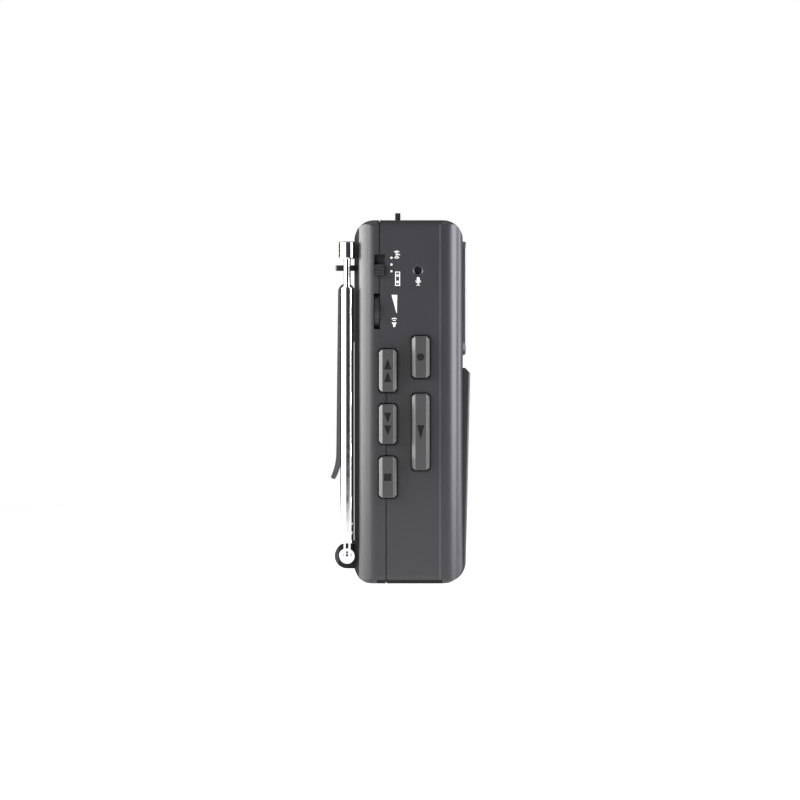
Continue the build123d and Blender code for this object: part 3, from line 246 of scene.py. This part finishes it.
def case_plastic(name, colour, roughness):
    """Case plastic: a painted highlight along the front seam, and painted shade, made rough as well,
    on the walls inside the key openings and in the groove behind the folded antenna."""
    shader, base, rough = plastic_base(name, colour, roughness, wear=0.0)
    across = shader.add("ShaderNodeSeparateXYZ")
    shader.link(shader.place, across.inputs["Vector"])
    # Painted highlight: a thin lighter line along the front seam.
    seam_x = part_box("centre_shell")[1].x
    offset = shader.math("ABSOLUTE", shader.math("SUBTRACT", across.outputs["X"], seam_x), 0.0)
    line = shader.spread(offset, 1.0, 0.0, *SEAM_HIGHLIGHT_FADE)
    with_seam_highlight = shader.blend(line, base, tint(colour, 3.0))
    # Painted shade on the walls of the key wells: darker below the key side, only within the key
    # field.
    depth = shader.math("ABSOLUTE", across.outputs["Y"], 0.0)
    outer = shader.spread(depth, 0.0, 1.0, *[-key_side_y - sunk for sunk in WELL_SHADE_DEPTH])
    from_middle = shader.math("ABSOLUTE", across.outputs["X"], 0.0)
    beyond_keys = shader.math("GREATER_THAN", from_middle, KEY_FIELD_HALF)
    clear_of_well_shade = shader.math("MAXIMUM", outer, beyond_keys)
    # Painted shade in the groove behind the folded antenna, within a set reach of the tube's axis;
    # the groove is also made rough.
    tube_low, tube_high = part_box("antenna_tube")
    from_tube = shader.add("ShaderNodeCombineXYZ")
    for axis in (0, 1):
        centre = (tube_low[axis] + tube_high[axis]) / 2
        shader.link(shader.math("SUBTRACT", across.outputs[axis], centre), from_tube.inputs[axis])
    reach = shader.add("ShaderNodeVectorMath", operation="LENGTH")
    shader.link(from_tube.outputs["Vector"], reach.inputs[0])
    clear_of_groove_shade = shader.spread(reach.outputs["Value"], 0.0, 1.0,
                               GROOVE_REACH - GROOVE_BLUR, GROOVE_REACH + GROOVE_BLUR)
    clear_of_painted_shade = shader.math("MULTIPLY", clear_of_well_shade, clear_of_groove_shade)
    # Painted shade: where the mask is zero, in the key wells and round the antenna groove, the case
    # colour is darkened almost to black.
    shader.colour(shader.blend(clear_of_painted_shade, tint(colour, 0.06), with_seam_highlight))
    shader.roughness(shader.math("MAXIMUM", rough, shader.spread(clear_of_painted_shade, 0.95, 0.0)))
    return shader.material


def polished_chrome(name, colour, roughness):
    """Bright plating with hairlines along the rod and a thin haze of fingerprints."""
    shader = Shader(name, colour, roughness, 1.0)
    haze = shader.noise(3.5 * MM, 4.0, 0.6)
    shader.roughness(shader.spread(haze, roughness, roughness + 0.08, 0.45, 0.8))
    shader.colour(shader.blend(haze, tint(colour, 1.0), tint(colour, 0.93)))
    hairlines = shader.noise(0.12 * MM, 2.0, 0.5, shader.stretched((1.0, 1.0, 0.02)))
    shader.bump(hairlines, 0.0006 * MM)
    return shader.material


def plated_steel(name, colour, roughness):
    """Zinc-plated sheet: rolled streaks under a cloudy, slightly warm film."""
    shader = Shader(name, colour, roughness, 1.0)
    cloud = shader.noise(4 * MM, 4.0)
    warm = (colour[0] * 1.05, colour[1], colour[2] * 0.86)
    shader.colour(shader.blend(cloud, tint(colour, 0.85), warm))
    streaks = shader.noise(0.25 * MM, 3.0, 0.6, shader.stretched((1.0, 1.0, 0.05)))
    shader.roughness(shader.spread(streaks, roughness - 0.06, roughness + 0.12))
    shader.bump(streaks, 0.004 * MM)
    return shader.material


def turned_brass(name, colour, roughness):
    """Lathe-turned brass with fine tool lines and a light tarnish."""
    shader = Shader(name, colour, roughness, 1.0)
    tarnish = shader.noise(2.5 * MM, 4.0, 0.6)
    shader.colour(shader.blend(shader.spread(tarnish, 0, 1, 0.35, 0.75), colour, tint(colour, 0.6)))
    lines = shader.noise(0.09 * MM, 1.0, 0.5, shader.stretched((1.0, 0.03, 0.03)))
    shader.roughness(shader.spread(lines, roughness - 0.05, roughness + 0.1))
    shader.bump(lines, 0.004 * MM)
    return shader.material


def matt_rubber(name, colour, roughness):
    """Ground rubber with a dusty bloom."""
    shader = Shader(name, colour, roughness, IOR=1.45)
    bloom = shader.noise(1.8 * MM, 5.0, 0.65)
    shader.colour(shader.blend(shader.spread(bloom, 0, 0.6, 0.45, 0.8), colour, (0.10, 0.10, 0.10)))
    shader.bump(shader.noise(0.08 * MM, 2.0), 0.008 * MM)
    return shader.material


def anodised_panel(name, colour, roughness):
    """Brushed aluminium panel, dark anodised, with the brush lines running up the case."""
    shader = Shader(name, colour, roughness, 0.9)
    brush = shader.noise(0.14 * MM, 3.0, 0.6, shader.stretched((1.0, 1.0, 0.012)))
    shader.colour(shader.blend(brush, tint(colour, 0.8), tint(colour, 1.2)))
    shader.roughness(shader.spread(brush, roughness - 0.06, roughness + 0.1))
    shader.bump(brush, 0.003 * MM)
    return shader.material


def circuit_board(name, colour, roughness):
    """Green laminate: tracks under solder resist, with tinned pads."""
    shader = Shader(name, colour, roughness, IOR=1.5)
    bricks = shader.add("ShaderNodeTexBrick")
    turned = shader.add("ShaderNodeMapping")
    turned.inputs["Rotation"].default_value = (0, math.radians(90), 0)
    shader.link(shader.place, turned.inputs["Vector"])
    shader.link(turned.outputs["Vector"], bricks.inputs["Vector"])
    bricks.inputs["Scale"].default_value = 1 / (6 * MM)
    bricks.inputs["Mortar Size"].default_value = 0.05
    bricks.inputs["Color1"].default_value = (0, 0, 0, 1)
    bricks.inputs["Color2"].default_value = (0, 0, 0, 1)
    bricks.inputs["Mortar"].default_value = (1, 1, 1, 1)
    tracks = shader.blend(bricks.outputs["Fac"], colour, tint(colour, 1.9))
    pads = shader.spread(shader.cells(2.4 * MM), 1.0, 0.0, 0.12, 0.16)
    shader.colour(shader.blend(pads, tracks, (0.55, 0.54, 0.50)))
    shader.roughness(shader.spread(pads, roughness, 0.28))
    shader.bump(bricks.outputs["Fac"], 0.03 * MM)
    return shader.material


def moulded_component(name, colour, roughness):
    """Epoxy and sleeved parts: each patch of the board has a slightly different tone."""
    shader = Shader(name, colour, roughness, IOR=1.5)
    patch = shader.add("ShaderNodeTexVoronoi")
    patch.inputs["Scale"].default_value = 1 / (9 * MM)
    shader.link(shader.place, patch.inputs["Vector"])
    tone = shader.add("ShaderNodeSeparateColor")
    shader.link(patch.outputs["Color"], tone.inputs["Color"])
    shader.colour(shader.blend(tone.outputs["Red"], colour, (0.02, 0.035, 0.09)))
    shader.bump(shader.noise(0.1 * MM, 2.0), 0.006 * MM)
    return shader.material


def natural_plastic(name, colour, roughness):
    """Uncoloured acetal: milky and slightly translucent."""
    shader = Shader(name, colour, roughness, IOR=1.48)
    shader.surface.inputs["Subsurface Weight"].default_value = 0.25
    shader.surface.inputs["Subsurface Radius"].default_value = (1.0, 0.9, 0.7)
    shader.surface.inputs["Subsurface Scale"].default_value = 0.8 * MM
    shader.colour(shader.blend(shader.noise(6 * MM, 3.0), tint(colour, 0.92), colour))
    shader.bump(shader.noise(0.3 * MM, 2.0), 0.006 * MM)
    return shader.material


def printed_cell(name, colour, roughness):
    """Battery sleeve: dark printed foil with a copper-coloured band at one end."""
    shader = Shader(name, colour, roughness, 0.7)
    low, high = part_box("batteries")
    along = shader.add("ShaderNodeSeparateXYZ")
    shader.link(shader.place, along.inputs["Vector"])
    band_start = low.z + (high.z - low.z) * 0.72
    band = shader.spread(along.outputs["Z"], 0.0, 1.0, band_start, band_start + 0.2 * MM)
    foil = shader.noise(0.8 * MM, 3.0, 0.5, shader.stretched((1.0, 1.0, 0.1)))
    shader.colour(shader.blend(band, tint(colour, 0.6), (0.55, 0.24, 0.10)))
    shader.roughness(shader.spread(foil, roughness - 0.06, roughness + 0.08))
    shader.bump(foil, 0.006 * MM)
    return shader.material


def pressed_paper(name, colour, roughness):
    """Loudspeaker cone: matted fibres."""
    shader = Shader(name, colour, roughness)
    fibres = shader.noise(0.35 * MM, 6.0, 0.75)
    shader.colour(shader.blend(fibres, tint(colour, 0.6), tint(colour, 1.7)))
    shader.bump(fibres, 0.05 * MM)
    return shader.material


def ferrite(name, colour, roughness):
    """Sintered magnet: grey speckle and tiny chips."""
    shader = Shader(name, colour, roughness, 0.2)
    chips = shader.noise(0.5 * MM, 5.0, 0.7)
    shader.colour(shader.blend(chips, tint(colour, 0.6), tint(colour, 1.6)))
    shader.bump(chips, 0.03 * MM)
    return shader.material


def smoky_window(name, colour, roughness):
    """Clear acrylic with a slight smoke and fine wipe marks."""
    shader = Shader(name, colour, roughness, IOR=1.49)
    shader.surface.inputs["Transmission Weight"].default_value = 0.94
    wipes = shader.noise(0.4 * MM, 4.0, 0.7, shader.stretched((1.0, 0.06, 1.0)))
    shader.roughness(shader.spread(wipes, roughness, roughness + 0.08, 0.5, 0.85))
    shader.colour(shader.blend(shader.noise(20 * MM, 1.0), tint(colour, 0.95), colour))
    shader.bump(shader.noise(12 * MM, 1.0), 0.01 * MM)
    return shader.material


def printed_ink(name, colour, roughness):
    """Pad-printed legend: a thin ink with slightly uneven cover."""
    shader = Shader(name, colour, roughness)
    cover = shader.noise(0.25 * MM, 3.0, 0.6)
    shader.colour(shader.blend(shader.spread(cover, 0, 1, 0.3, 0.7), tint(colour, 0.82), colour))
    shader.bump(cover, 0.004 * MM)
    return shader.material


def grille_cloth(name, colour, roughness):
    """Woven dust cloth behind the speaker holes."""
    shader = Shader(name, colour, roughness)
    thread = 0.22 * MM
    wave_y = shader.add("ShaderNodeTexWave", bands_direction="Y")
    wave_z = shader.add("ShaderNodeTexWave", bands_direction="Z")
    for wave in (wave_y, wave_z):
        wave.inputs["Scale"].default_value = 1 / (thread * 20)
        shader.link(shader.place, wave.inputs["Vector"])
    weave = shader.math("MULTIPLY", wave_y.outputs["Fac"], wave_z.outputs["Fac"])
    shader.colour(shader.blend(weave, tint(colour, 0.5), tint(colour, 2.0)))
    shader.bump(weave, 0.05 * MM)
    return shader.material


MAKERS = {
    "case_plastic": case_plastic,
    "key_plastic": key_cap_plastic,
    "black_plastic": moulded_plastic,
    "clip_plastic": moulded_plastic,
    "panel_metal": anodised_panel,
    "window": smoky_window,
    "antenna_chrome": polished_chrome,
    "steel": plated_steel,
    "brass": turned_brass,
    "rubber": matt_rubber,
    "board": circuit_board,
    "component": moulded_component,
    "white_plastic": natural_plastic,
    "cell": printed_cell,
    "paper_cone": pressed_paper,
    "magnet": ferrite,
}
COLOURS = {
    "case_plastic": ((0.026, 0.026, 0.029), 0.30),
    "key_plastic": ((0.037, 0.037, 0.038), 0.36),
    "black_plastic": ((0.010, 0.010, 0.011), 0.45),
    "clip_plastic": ((0.045, 0.046, 0.046), 0.40),
    "panel_metal": ((0.20, 0.20, 0.22), 0.30),
    "window": ((0.72, 0.75, 0.77), 0.03),
    "antenna_chrome": ((0.86, 0.86, 0.87), 0.06),
    "steel": ((0.55, 0.55, 0.54), 0.34),
    "brass": ((0.72, 0.52, 0.24), 0.28),
    "rubber": ((0.018, 0.018, 0.018), 0.75),
    "board": ((0.035, 0.11, 0.035), 0.35),
    "component": ((0.022, 0.022, 0.024), 0.42),
    "white_plastic": ((0.72, 0.71, 0.66), 0.38),
    "cell": ((0.05, 0.05, 0.055), 0.32),
    "paper_cone": ((0.05, 0.047, 0.042), 0.9),
    "magnet": ((0.05, 0.05, 0.052), 0.6),
}
materials = {slot: MAKERS[slot](slot, *COLOURS[slot]) for slot in MAKERS}
ink = printed_ink("legend_ink", (0.82, 0.82, 0.80), 0.5)
cloth = grille_cloth("grille_cloth", (0.015, 0.015, 0.016), 0.9)

for subpart in frame["record"]["subparts"]:
    node = nodes[subpart["node"]]
    for material_slot in node.material_slots:
        material_slot.material = materials[subpart["material_slot"]]


# ---------------------------------------------------------------- mesh helpers
def finish_piece(bm, name, body, material):
    """Turn a bmesh into a shown piece that rides a body."""
    bmesh.ops.recalc_face_normals(bm, faces=bm.faces)
    mesh = bpy.data.meshes.new(name)
    bm.to_mesh(mesh)
    bm.free()
    piece = bpy.data.objects.new(name, mesh)
    piece.data.materials.append(material)
    scene.collection.objects.link(piece)
    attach(piece, body)
    return piece


def prism(bm, outline, to_world, thickness):
    """Extrude a flat outline (points in its own plane) into a thin solid."""
    bottom = [bm.verts.new(to_world @ Vector((u, v, 0))) for u, v in outline]
    top = [bm.verts.new(to_world @ Vector((u, v, thickness))) for u, v in outline]
    bm.faces.new(list(reversed(bottom)))
    bm.faces.new(top)
    count = len(outline)
    for index in range(count):
        after = (index + 1) % count
        bm.faces.new((bottom[index], bottom[after], top[after], top[index]))


def ring_strip(bm, centre, inner, outer, start, end, to_world, thickness, steps=16):
    """A flat arc-shaped bar between two radii."""
    turns = [start + (end - start) * index / steps for index in range(steps + 1)]
    outline = [(centre[0] + outer * math.cos(t), centre[1] + outer * math.sin(t)) for t in turns]
    outline += [
        (centre[0] + inner * math.cos(t), centre[1] + inner * math.sin(t))
        for t in reversed(turns)
    ]
    prism(bm, outline, to_world, thickness)


def disc_outline(centre, radius, steps=24):
    return [
        (centre[0] + radius * math.cos(2 * math.pi * index / steps),
         centre[1] + radius * math.sin(2 * math.pi * index / steps))
        for index in range(steps)
    ]


INK_THICKNESS = 0.04 * MM


def side_plane(x, z, turn=0.0):
    """Axes of a legend on the key side: u to the right, v up, w out of the case."""
    axes = Matrix(((1, 0, 0, 0), (0, 0, -1, 0), (0, 1, 0, 0), (0, 0, 0, 1)))
    return Matrix.Translation((x, key_side_y, z)) @ axes @ Matrix.Rotation(turn, 4, "Z")


def legend(name, draw, x, z, turn=0.0):
    """A printed mark on the key side, drawn by a function in millimetres."""
    bm = bmesh.new()
    draw(bm, side_plane(x, z, turn))
    return finish_piece(bm, name, "root", ink)


def in_metres(points):
    return [(u * MM, v * MM) for u, v in points]


# ---------------------------------------------------------------- legends
knob_low, knob_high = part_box("function_knob")
wheel_low, wheel_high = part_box("volume_wheel")
mic_low, mic_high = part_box("mic_boot")
switch_low, switch_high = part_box("slide_switch")
knob_x = (knob_low.x + knob_high.x) / 2
wheel_z = (wheel_low.z + wheel_high.z) / 2
mic_x = (mic_low.x + mic_high.x) / 2
mic_z = (mic_low.z + mic_high.z) / 2
switch_z = (switch_low.z + switch_high.z) / 2


def draw_dots(bm, plane):
    for v in (-2.2, 0.0, 2.2):
        prism(bm, disc_outline((0, v * MM), 0.36 * MM), plane, INK_THICKNESS)


def draw_wedge(bm, plane):
    prism(bm, in_metres([(0.72, -2.65), (0.86, -2.65), (0.98, 3.15), (-0.86, 3.15)]),
          plane, INK_THICKNESS)


def draw_waves(bm, plane):
    """Broadcast mark: a mast with two pairs of waves."""
    prism(bm, in_metres([(-0.13, -0.8), (0.13, -0.8), (0.13, 0.25), (-0.13, 0.25)]),
          plane, INK_THICKNESS)
    prism(bm, disc_outline((0, 0.3 * MM), 0.3 * MM, 16), plane, INK_THICKNESS)
    for radius in (0.65, 1.15):
        for middle in (0.0, math.pi):
            ring_strip(bm, (0, 0.3 * MM), (radius - 0.12) * MM, (radius + 0.12) * MM,
                       middle - 0.75, middle + 0.75, plane, INK_THICKNESS, 10)


def draw_cassette(bm, plane):
    """Tape mark: the outline of a cassette with two reels."""
    wide, tall, line = 2.3, 0.8, 0.26
    for v_low, v_high in ((-tall, -tall + line), (tall - line, tall)):
        prism(bm, in_metres([(-wide, v_low), (wide, v_low), (wide, v_high), (-wide, v_high)]),
              plane, INK_THICKNESS)
    for u_low, u_high in ((-wide, -wide + line), (wide - line, wide)):
        prism(bm, in_metres([(u_low, -tall + line), (u_high, -tall + line),
                             (u_high, tall - line), (u_low, tall - line)]), plane, INK_THICKNESS)
    for u in (-1.05, 1.05):
        ring_strip(bm, (u * MM, 0), 0.14 * MM, 0.42 * MM, 0.0, 2 * math.pi, plane, INK_THICKNESS, 20)


def draw_speaker(bm, plane):
    """Loudness mark: a small loudspeaker with two sound waves."""
    prism(bm, in_metres([(-1.7, -0.34), (-1.05, -0.34), (-0.3, -0.85), (-0.3, 0.85), (-1.05, 0.34),
                         (-1.7, 0.34)]), plane, INK_THICKNESS)
    for radius in (0.75, 1.4):
        ring_strip(bm, (-0.3 * MM, 0), (radius - 0.13) * MM, (radius + 0.13) * MM, -0.62, 0.62,
                   plane, INK_THICKNESS, 10)


def draw_microphone(bm, plane):
    """Microphone mark: capsule, cradle and stand."""
    capsule = [(0.45 * math.cos(t), 0.55 + 0.45 * math.sin(t)) for t in
               [math.pi * index / 8 for index in range(9)]]
    capsule += [(0.45 * math.cos(t), -0.15 + 0.45 * math.sin(t)) for t in
                [math.pi + math.pi * index / 8 for index in range(9)]]
    prism(bm, in_metres([(u - 0.3, v) for u, v in capsule]), plane, INK_THICKNESS)
    ring_strip(bm, (-0.3 * MM, -0.1 * MM), 0.68 * MM, 0.9 * MM, math.pi, 2 * math.pi, plane,
               INK_THICKNESS, 14)
    prism(bm, in_metres([(-0.41, -1.5), (-0.19, -1.5), (-0.19, -0.98), (-0.41, -0.98)]),
          plane, INK_THICKNESS)
    prism(bm, in_metres([(-0.85, -1.7), (0.25, -1.7), (0.25, -1.5), (-0.85, -1.5)]),
          plane, INK_THICKNESS)


UP = math.radians(90)
LEGEND_X = knob_x + 5.8 * MM
legend("selector_dots", draw_dots, knob_x + 3.8 * MM, switch_z + 0.3 * MM)
legend("radio_mark", draw_waves, LEGEND_X, switch_z + 3.5 * MM, UP)
legend("tape_mark", draw_cassette, LEGEND_X, switch_z - 4.3 * MM, UP)
legend("volume_wedge", draw_wedge, knob_x + 4.7 * MM, wheel_z + 2.1 * MM)
legend("volume_mark", draw_speaker, knob_x + 4.7 * MM, wheel_z - 3.4 * MM, UP)
legend("microphone_mark", draw_microphone, mic_x + 0.35 * MM, mic_z - 3.2 * MM)


# ---------------------------------------------------------------- tuning scale on the top
tuning_low, tuning_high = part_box("tuning_wheel")
tuning_y = (tuning_low.y + tuning_high.y) / 2
top_z = case_height


def top_mark(name, outline, x, y):
    """Ink on the top face, drawn with v along the case's width."""
    axes = Matrix(((0, 1, 0, 0), (1, 0, 0, 0), (0, 0, 1, 0), (0, 0, 0, 1)))
    plane = Matrix.Translation((x, y, top_z)) @ axes
    bm = bmesh.new()
    prism(bm, in_metres(outline), plane, INK_THICKNESS)
    return finish_piece(bm, name, "root", ink)


def scale_number(name, text, x, y):
    """A number of the tuning scale as a flat mesh on the top face."""
    curve = bpy.data.curves.new(name, "FONT")
    curve.body = text
    curve.size = 2.0 * MM
    curve.extrude = INK_THICKNESS / 2
    curve.align_x = "CENTER"
    curve.align_y = "CENTER"
    curve.materials.append(ink)
    number = bpy.data.objects.new(name, curve)
    number.location = (x, y, top_z + INK_THICKNESS / 2)
    number.rotation_euler = (0, 0, math.radians(90))
    scene.collection.objects.link(number)
    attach(number, "root")


TICK_PITCH = 2.4
scale_x = tuning_high.x + 1.5 * MM
for index in range(-3, 4):
    reach = 1.3 if index % 3 == 0 else 0.8
    tick = [(-0.11, -0.4), (0.11, -0.4), (0.11, reach), (-0.11, reach)]
    top_mark(f"scale_tick_{index + 3}", tick, scale_x, tuning_y + index * TICK_PITCH * MM)
for index, text in ((-3, "88"), (0, "98"), (3, "108")):
    scale_number(f"scale_number_{text}", text, scale_x + 3.0 * MM, tuning_y + index * TICK_PITCH * MM)


# ---------------------------------------------------------------- speaker cloth
panel_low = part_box("front_panel")[0]
CLOTH_RINGS = 10
CLOTH_SPOKES = 48
CLOTH_RADIUS = 15.6 * MM
CLOTH_GAP = 0.35 * MM
CLOTH_SAG = 0.18 * MM
CLOTH_THICKNESS = 0.15 * MM
cone_low, cone_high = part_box("speaker_cone")
cone_y = (cone_low.y + cone_high.y) / 2
cone_z = (cone_low.z + cone_high.z) / 2


def make_speaker_cloth():
    """A stretched woven disc, a little slack between its threads."""
    bm = bmesh.new()
    back = panel_low.x - CLOTH_GAP
    rows = []
    for ring in range(1, CLOTH_RINGS + 1):
        reach = CLOTH_RADIUS * ring / CLOTH_RINGS
        sag = CLOTH_SAG * math.cos(math.pi / 2 * ring / CLOTH_RINGS)
        rows.append([
            bm.verts.new((back - sag, cone_y + reach * math.cos(2 * math.pi * s / CLOTH_SPOKES),
                          cone_z + reach * math.sin(2 * math.pi * s / CLOTH_SPOKES)))
            for s in range(CLOTH_SPOKES)
        ])
    hub = bm.verts.new((back - CLOTH_SAG, cone_y, cone_z))
    for s in range(CLOTH_SPOKES):
        after = (s + 1) % CLOTH_SPOKES
        bm.faces.new((hub, rows[0][s], rows[0][after]))
        for inner, outer in zip(rows, rows[1:]):
            bm.faces.new((inner[s], outer[s], outer[after], inner[after]))
    piece = finish_piece(bm, "speaker_cloth", "root", cloth)
    thickness = piece.modifiers.new("thickness", "SOLIDIFY")
    thickness.thickness = CLOTH_THICKNESS
    thickness.offset = -1


make_speaker_cloth()


# ---------------------------------------------------------------- key springs
SPRING_WIRE = 0.18 * MM
SPRING_RADIUS = 2.0 * MM
SPRING_PITCH = 1.15 * MM
STEPS_PER_TURN = 28
WIRE_SIDES = 8
springs_low, springs_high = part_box("key_springs")
spring_length = springs_high.y - springs_low.y


def make_spring(key):
    """A coil round the key's stem."""
    key_low, key_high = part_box(key)
    centre_x = (key_low.x + key_high.x) / 2
    centre_z = (key_low.z + key_high.z) / 2
    start = springs_low.y + SPRING_WIRE
    run = spring_length - 2 * SPRING_WIRE
    steps = int(run / SPRING_PITCH * STEPS_PER_TURN)
    slope = SPRING_PITCH / (2 * math.pi * SPRING_RADIUS)
    bm = bmesh.new()
    rings = []
    for step in range(steps + 1):
        share = step / steps
        turn = 2 * math.pi * share * run / SPRING_PITCH
        outwards = Vector((math.cos(turn), 0, math.sin(turn)))
        along = Vector((-math.sin(turn), slope, math.cos(turn))).normalized()
        aside = along.cross(outwards)
        point = Vector((centre_x, start + run * share, centre_z)) + outwards * SPRING_RADIUS
        rings.append([
            bm.verts.new(point + SPRING_WIRE * (math.cos(a) * outwards + math.sin(a) * aside))
            for a in [2 * math.pi * side / WIRE_SIDES for side in range(WIRE_SIDES)]
        ])
    for before, after in zip(rings, rings[1:]):
        for side in range(WIRE_SIDES):
            beside = (side + 1) % WIRE_SIDES
            bm.faces.new((before[side], before[beside], after[beside], after[side]))
    bm.faces.new(rings[0])
    bm.faces.new(list(reversed(rings[-1])))
    spring = finish_piece(bm, key + "_spring", "root", materials["steel"])
    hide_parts("key_springs")
    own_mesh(spring)


for key in KEYS:
    make_spring(key)


# ---------------------------------------------------------------- studio
FLOOR_HALF = 0.75
FLOOR_GLOW = 0.85
FLOOR_DROP = 0.02 * MM
SCREEN_BEARING = math.radians(60)
SCREEN_HALF = math.radians(42)
SCREEN_BLUR = math.radians(8)
SCREEN_GLOSS = 0.9
ROOM_GLOSS = 0.05
MATT_FILL = 0.05
WARM = (1.0, 0.985, 0.97)
COOL = (0.93, 0.93, 1.0)
middle = Vector((0, 0, case_height / 2))


def make_floor():
    """A sheet of pale paper that glows, so that it stays white out to its edges."""
    shader = Shader("floor_paper", (0.35, 0.35, 0.35), 0.9)
    shader.surface.inputs["Emission Color"].default_value = (1, 1, 1, 1)
    shader.surface.inputs["Emission Strength"].default_value = FLOOR_GLOW
    bm = bmesh.new()
    bmesh.ops.create_grid(bm, x_segments=8, y_segments=8, size=FLOOR_HALF)
    mesh = bpy.data.meshes.new("floor")
    bm.to_mesh(mesh)
    bm.free()
    floor = bpy.data.objects.new("floor", mesh)
    floor.location.z = -FLOOR_DROP
    floor.data.materials.append(shader.material)
    scene.collection.objects.link(floor)


def softbox(name, place, size, radiance, colour=(1, 1, 1)):
    """A rectangular lamp, aimed at the object, with a given brightness of its face."""
    lamp = bpy.data.lights.new(name, "AREA")
    lamp.shape = "RECTANGLE"
    lamp.size, lamp.size_y = size
    lamp.energy = radiance * math.pi * size[0] * size[1]
    lamp.color = colour
    holder = bpy.data.objects.new(name, lamp)
    holder.location = place
    holder.rotation_euler = (middle - Vector(place)).to_track_quat("-Z", "Y").to_euler()
    scene.collection.objects.link(holder)


def standing_box(name, bearing, distance, size, radiance, colour=(1, 1, 1)):
    """A softbox that stands on the floor; its bearing turns from the camera towards +X."""
    turn = math.radians(bearing)
    softbox(name, (distance * math.sin(turn), -distance * math.cos(turn), size[1] / 2 + 0.004),
            size, radiance, colour)


def make_world():
    """White for the camera, an even fill for matt surfaces, and for glossy ones a dark room
    with one large pale screen to the left of the camera."""
    world = bpy.data.worlds.new("studio")
    world.use_nodes = True
    scene.world = world
    tree = world.node_tree
    background = tree.nodes["Background"]
    background.inputs["Color"].default_value = (1, 1, 1, 1)
    direction = tree.nodes.new("ShaderNodeTexCoord")
    towards_screen = tree.nodes.new("ShaderNodeVectorMath")
    towards_screen.operation = "DOT_PRODUCT"
    towards_screen.inputs[1].default_value = (
        -math.sin(SCREEN_BEARING), -math.cos(SCREEN_BEARING), 0)
    screen = tree.nodes.new("ShaderNodeMapRange")
    screen.inputs["From Min"].default_value = math.cos(SCREEN_HALF + SCREEN_BLUR)
    screen.inputs["From Max"].default_value = math.cos(SCREEN_HALF)
    screen.inputs["To Min"].default_value = ROOM_GLOSS
    screen.inputs["To Max"].default_value = SCREEN_GLOSS
    tree.links.new(direction.outputs["Generated"], towards_screen.inputs[0])
    tree.links.new(towards_screen.outputs["Value"], screen.inputs["Value"])
    rays = tree.nodes.new("ShaderNodeLightPath")
    matt = tree.nodes.new("ShaderNodeMix")
    matt.inputs["B"].default_value = MATT_FILL
    tree.links.new(rays.outputs["Is Diffuse Ray"], matt.inputs["Factor"])
    tree.links.new(screen.outputs["Result"], matt.inputs["A"])
    seen = tree.nodes.new("ShaderNodeMix")
    seen.inputs["B"].default_value = 1.0
    tree.links.new(rays.outputs["Is Camera Ray"], seen.inputs["Factor"])
    tree.links.new(matt.outputs["Result"], seen.inputs["A"])
    tree.links.new(seen.outputs["Result"], background.inputs["Strength"])


make_floor()
make_world()
standing_box("left_box", -90, 0.40, (0.16, 0.36), 10.0, WARM)
standing_box("left_front_box", -67, 0.48, (0.30, 0.42), 9.0, WARM)
standing_box("left_key_box", -38, 0.48, (0.14, 0.40), 7.0, WARM)
standing_box("right_front_box", 68, 0.40, (0.22, 0.36), 11.0, COOL)
standing_box("right_box", 108, 0.45, (0.16, 0.36), 6.0, COOL)
standing_box("rear_box", 168, 0.80, (0.50, 0.50), 0.7)
softbox("top_box", (0.0, -0.1, 1.1), (1.2, 1.2), 0.5)
scene.view_settings.view_transform = "Standard"
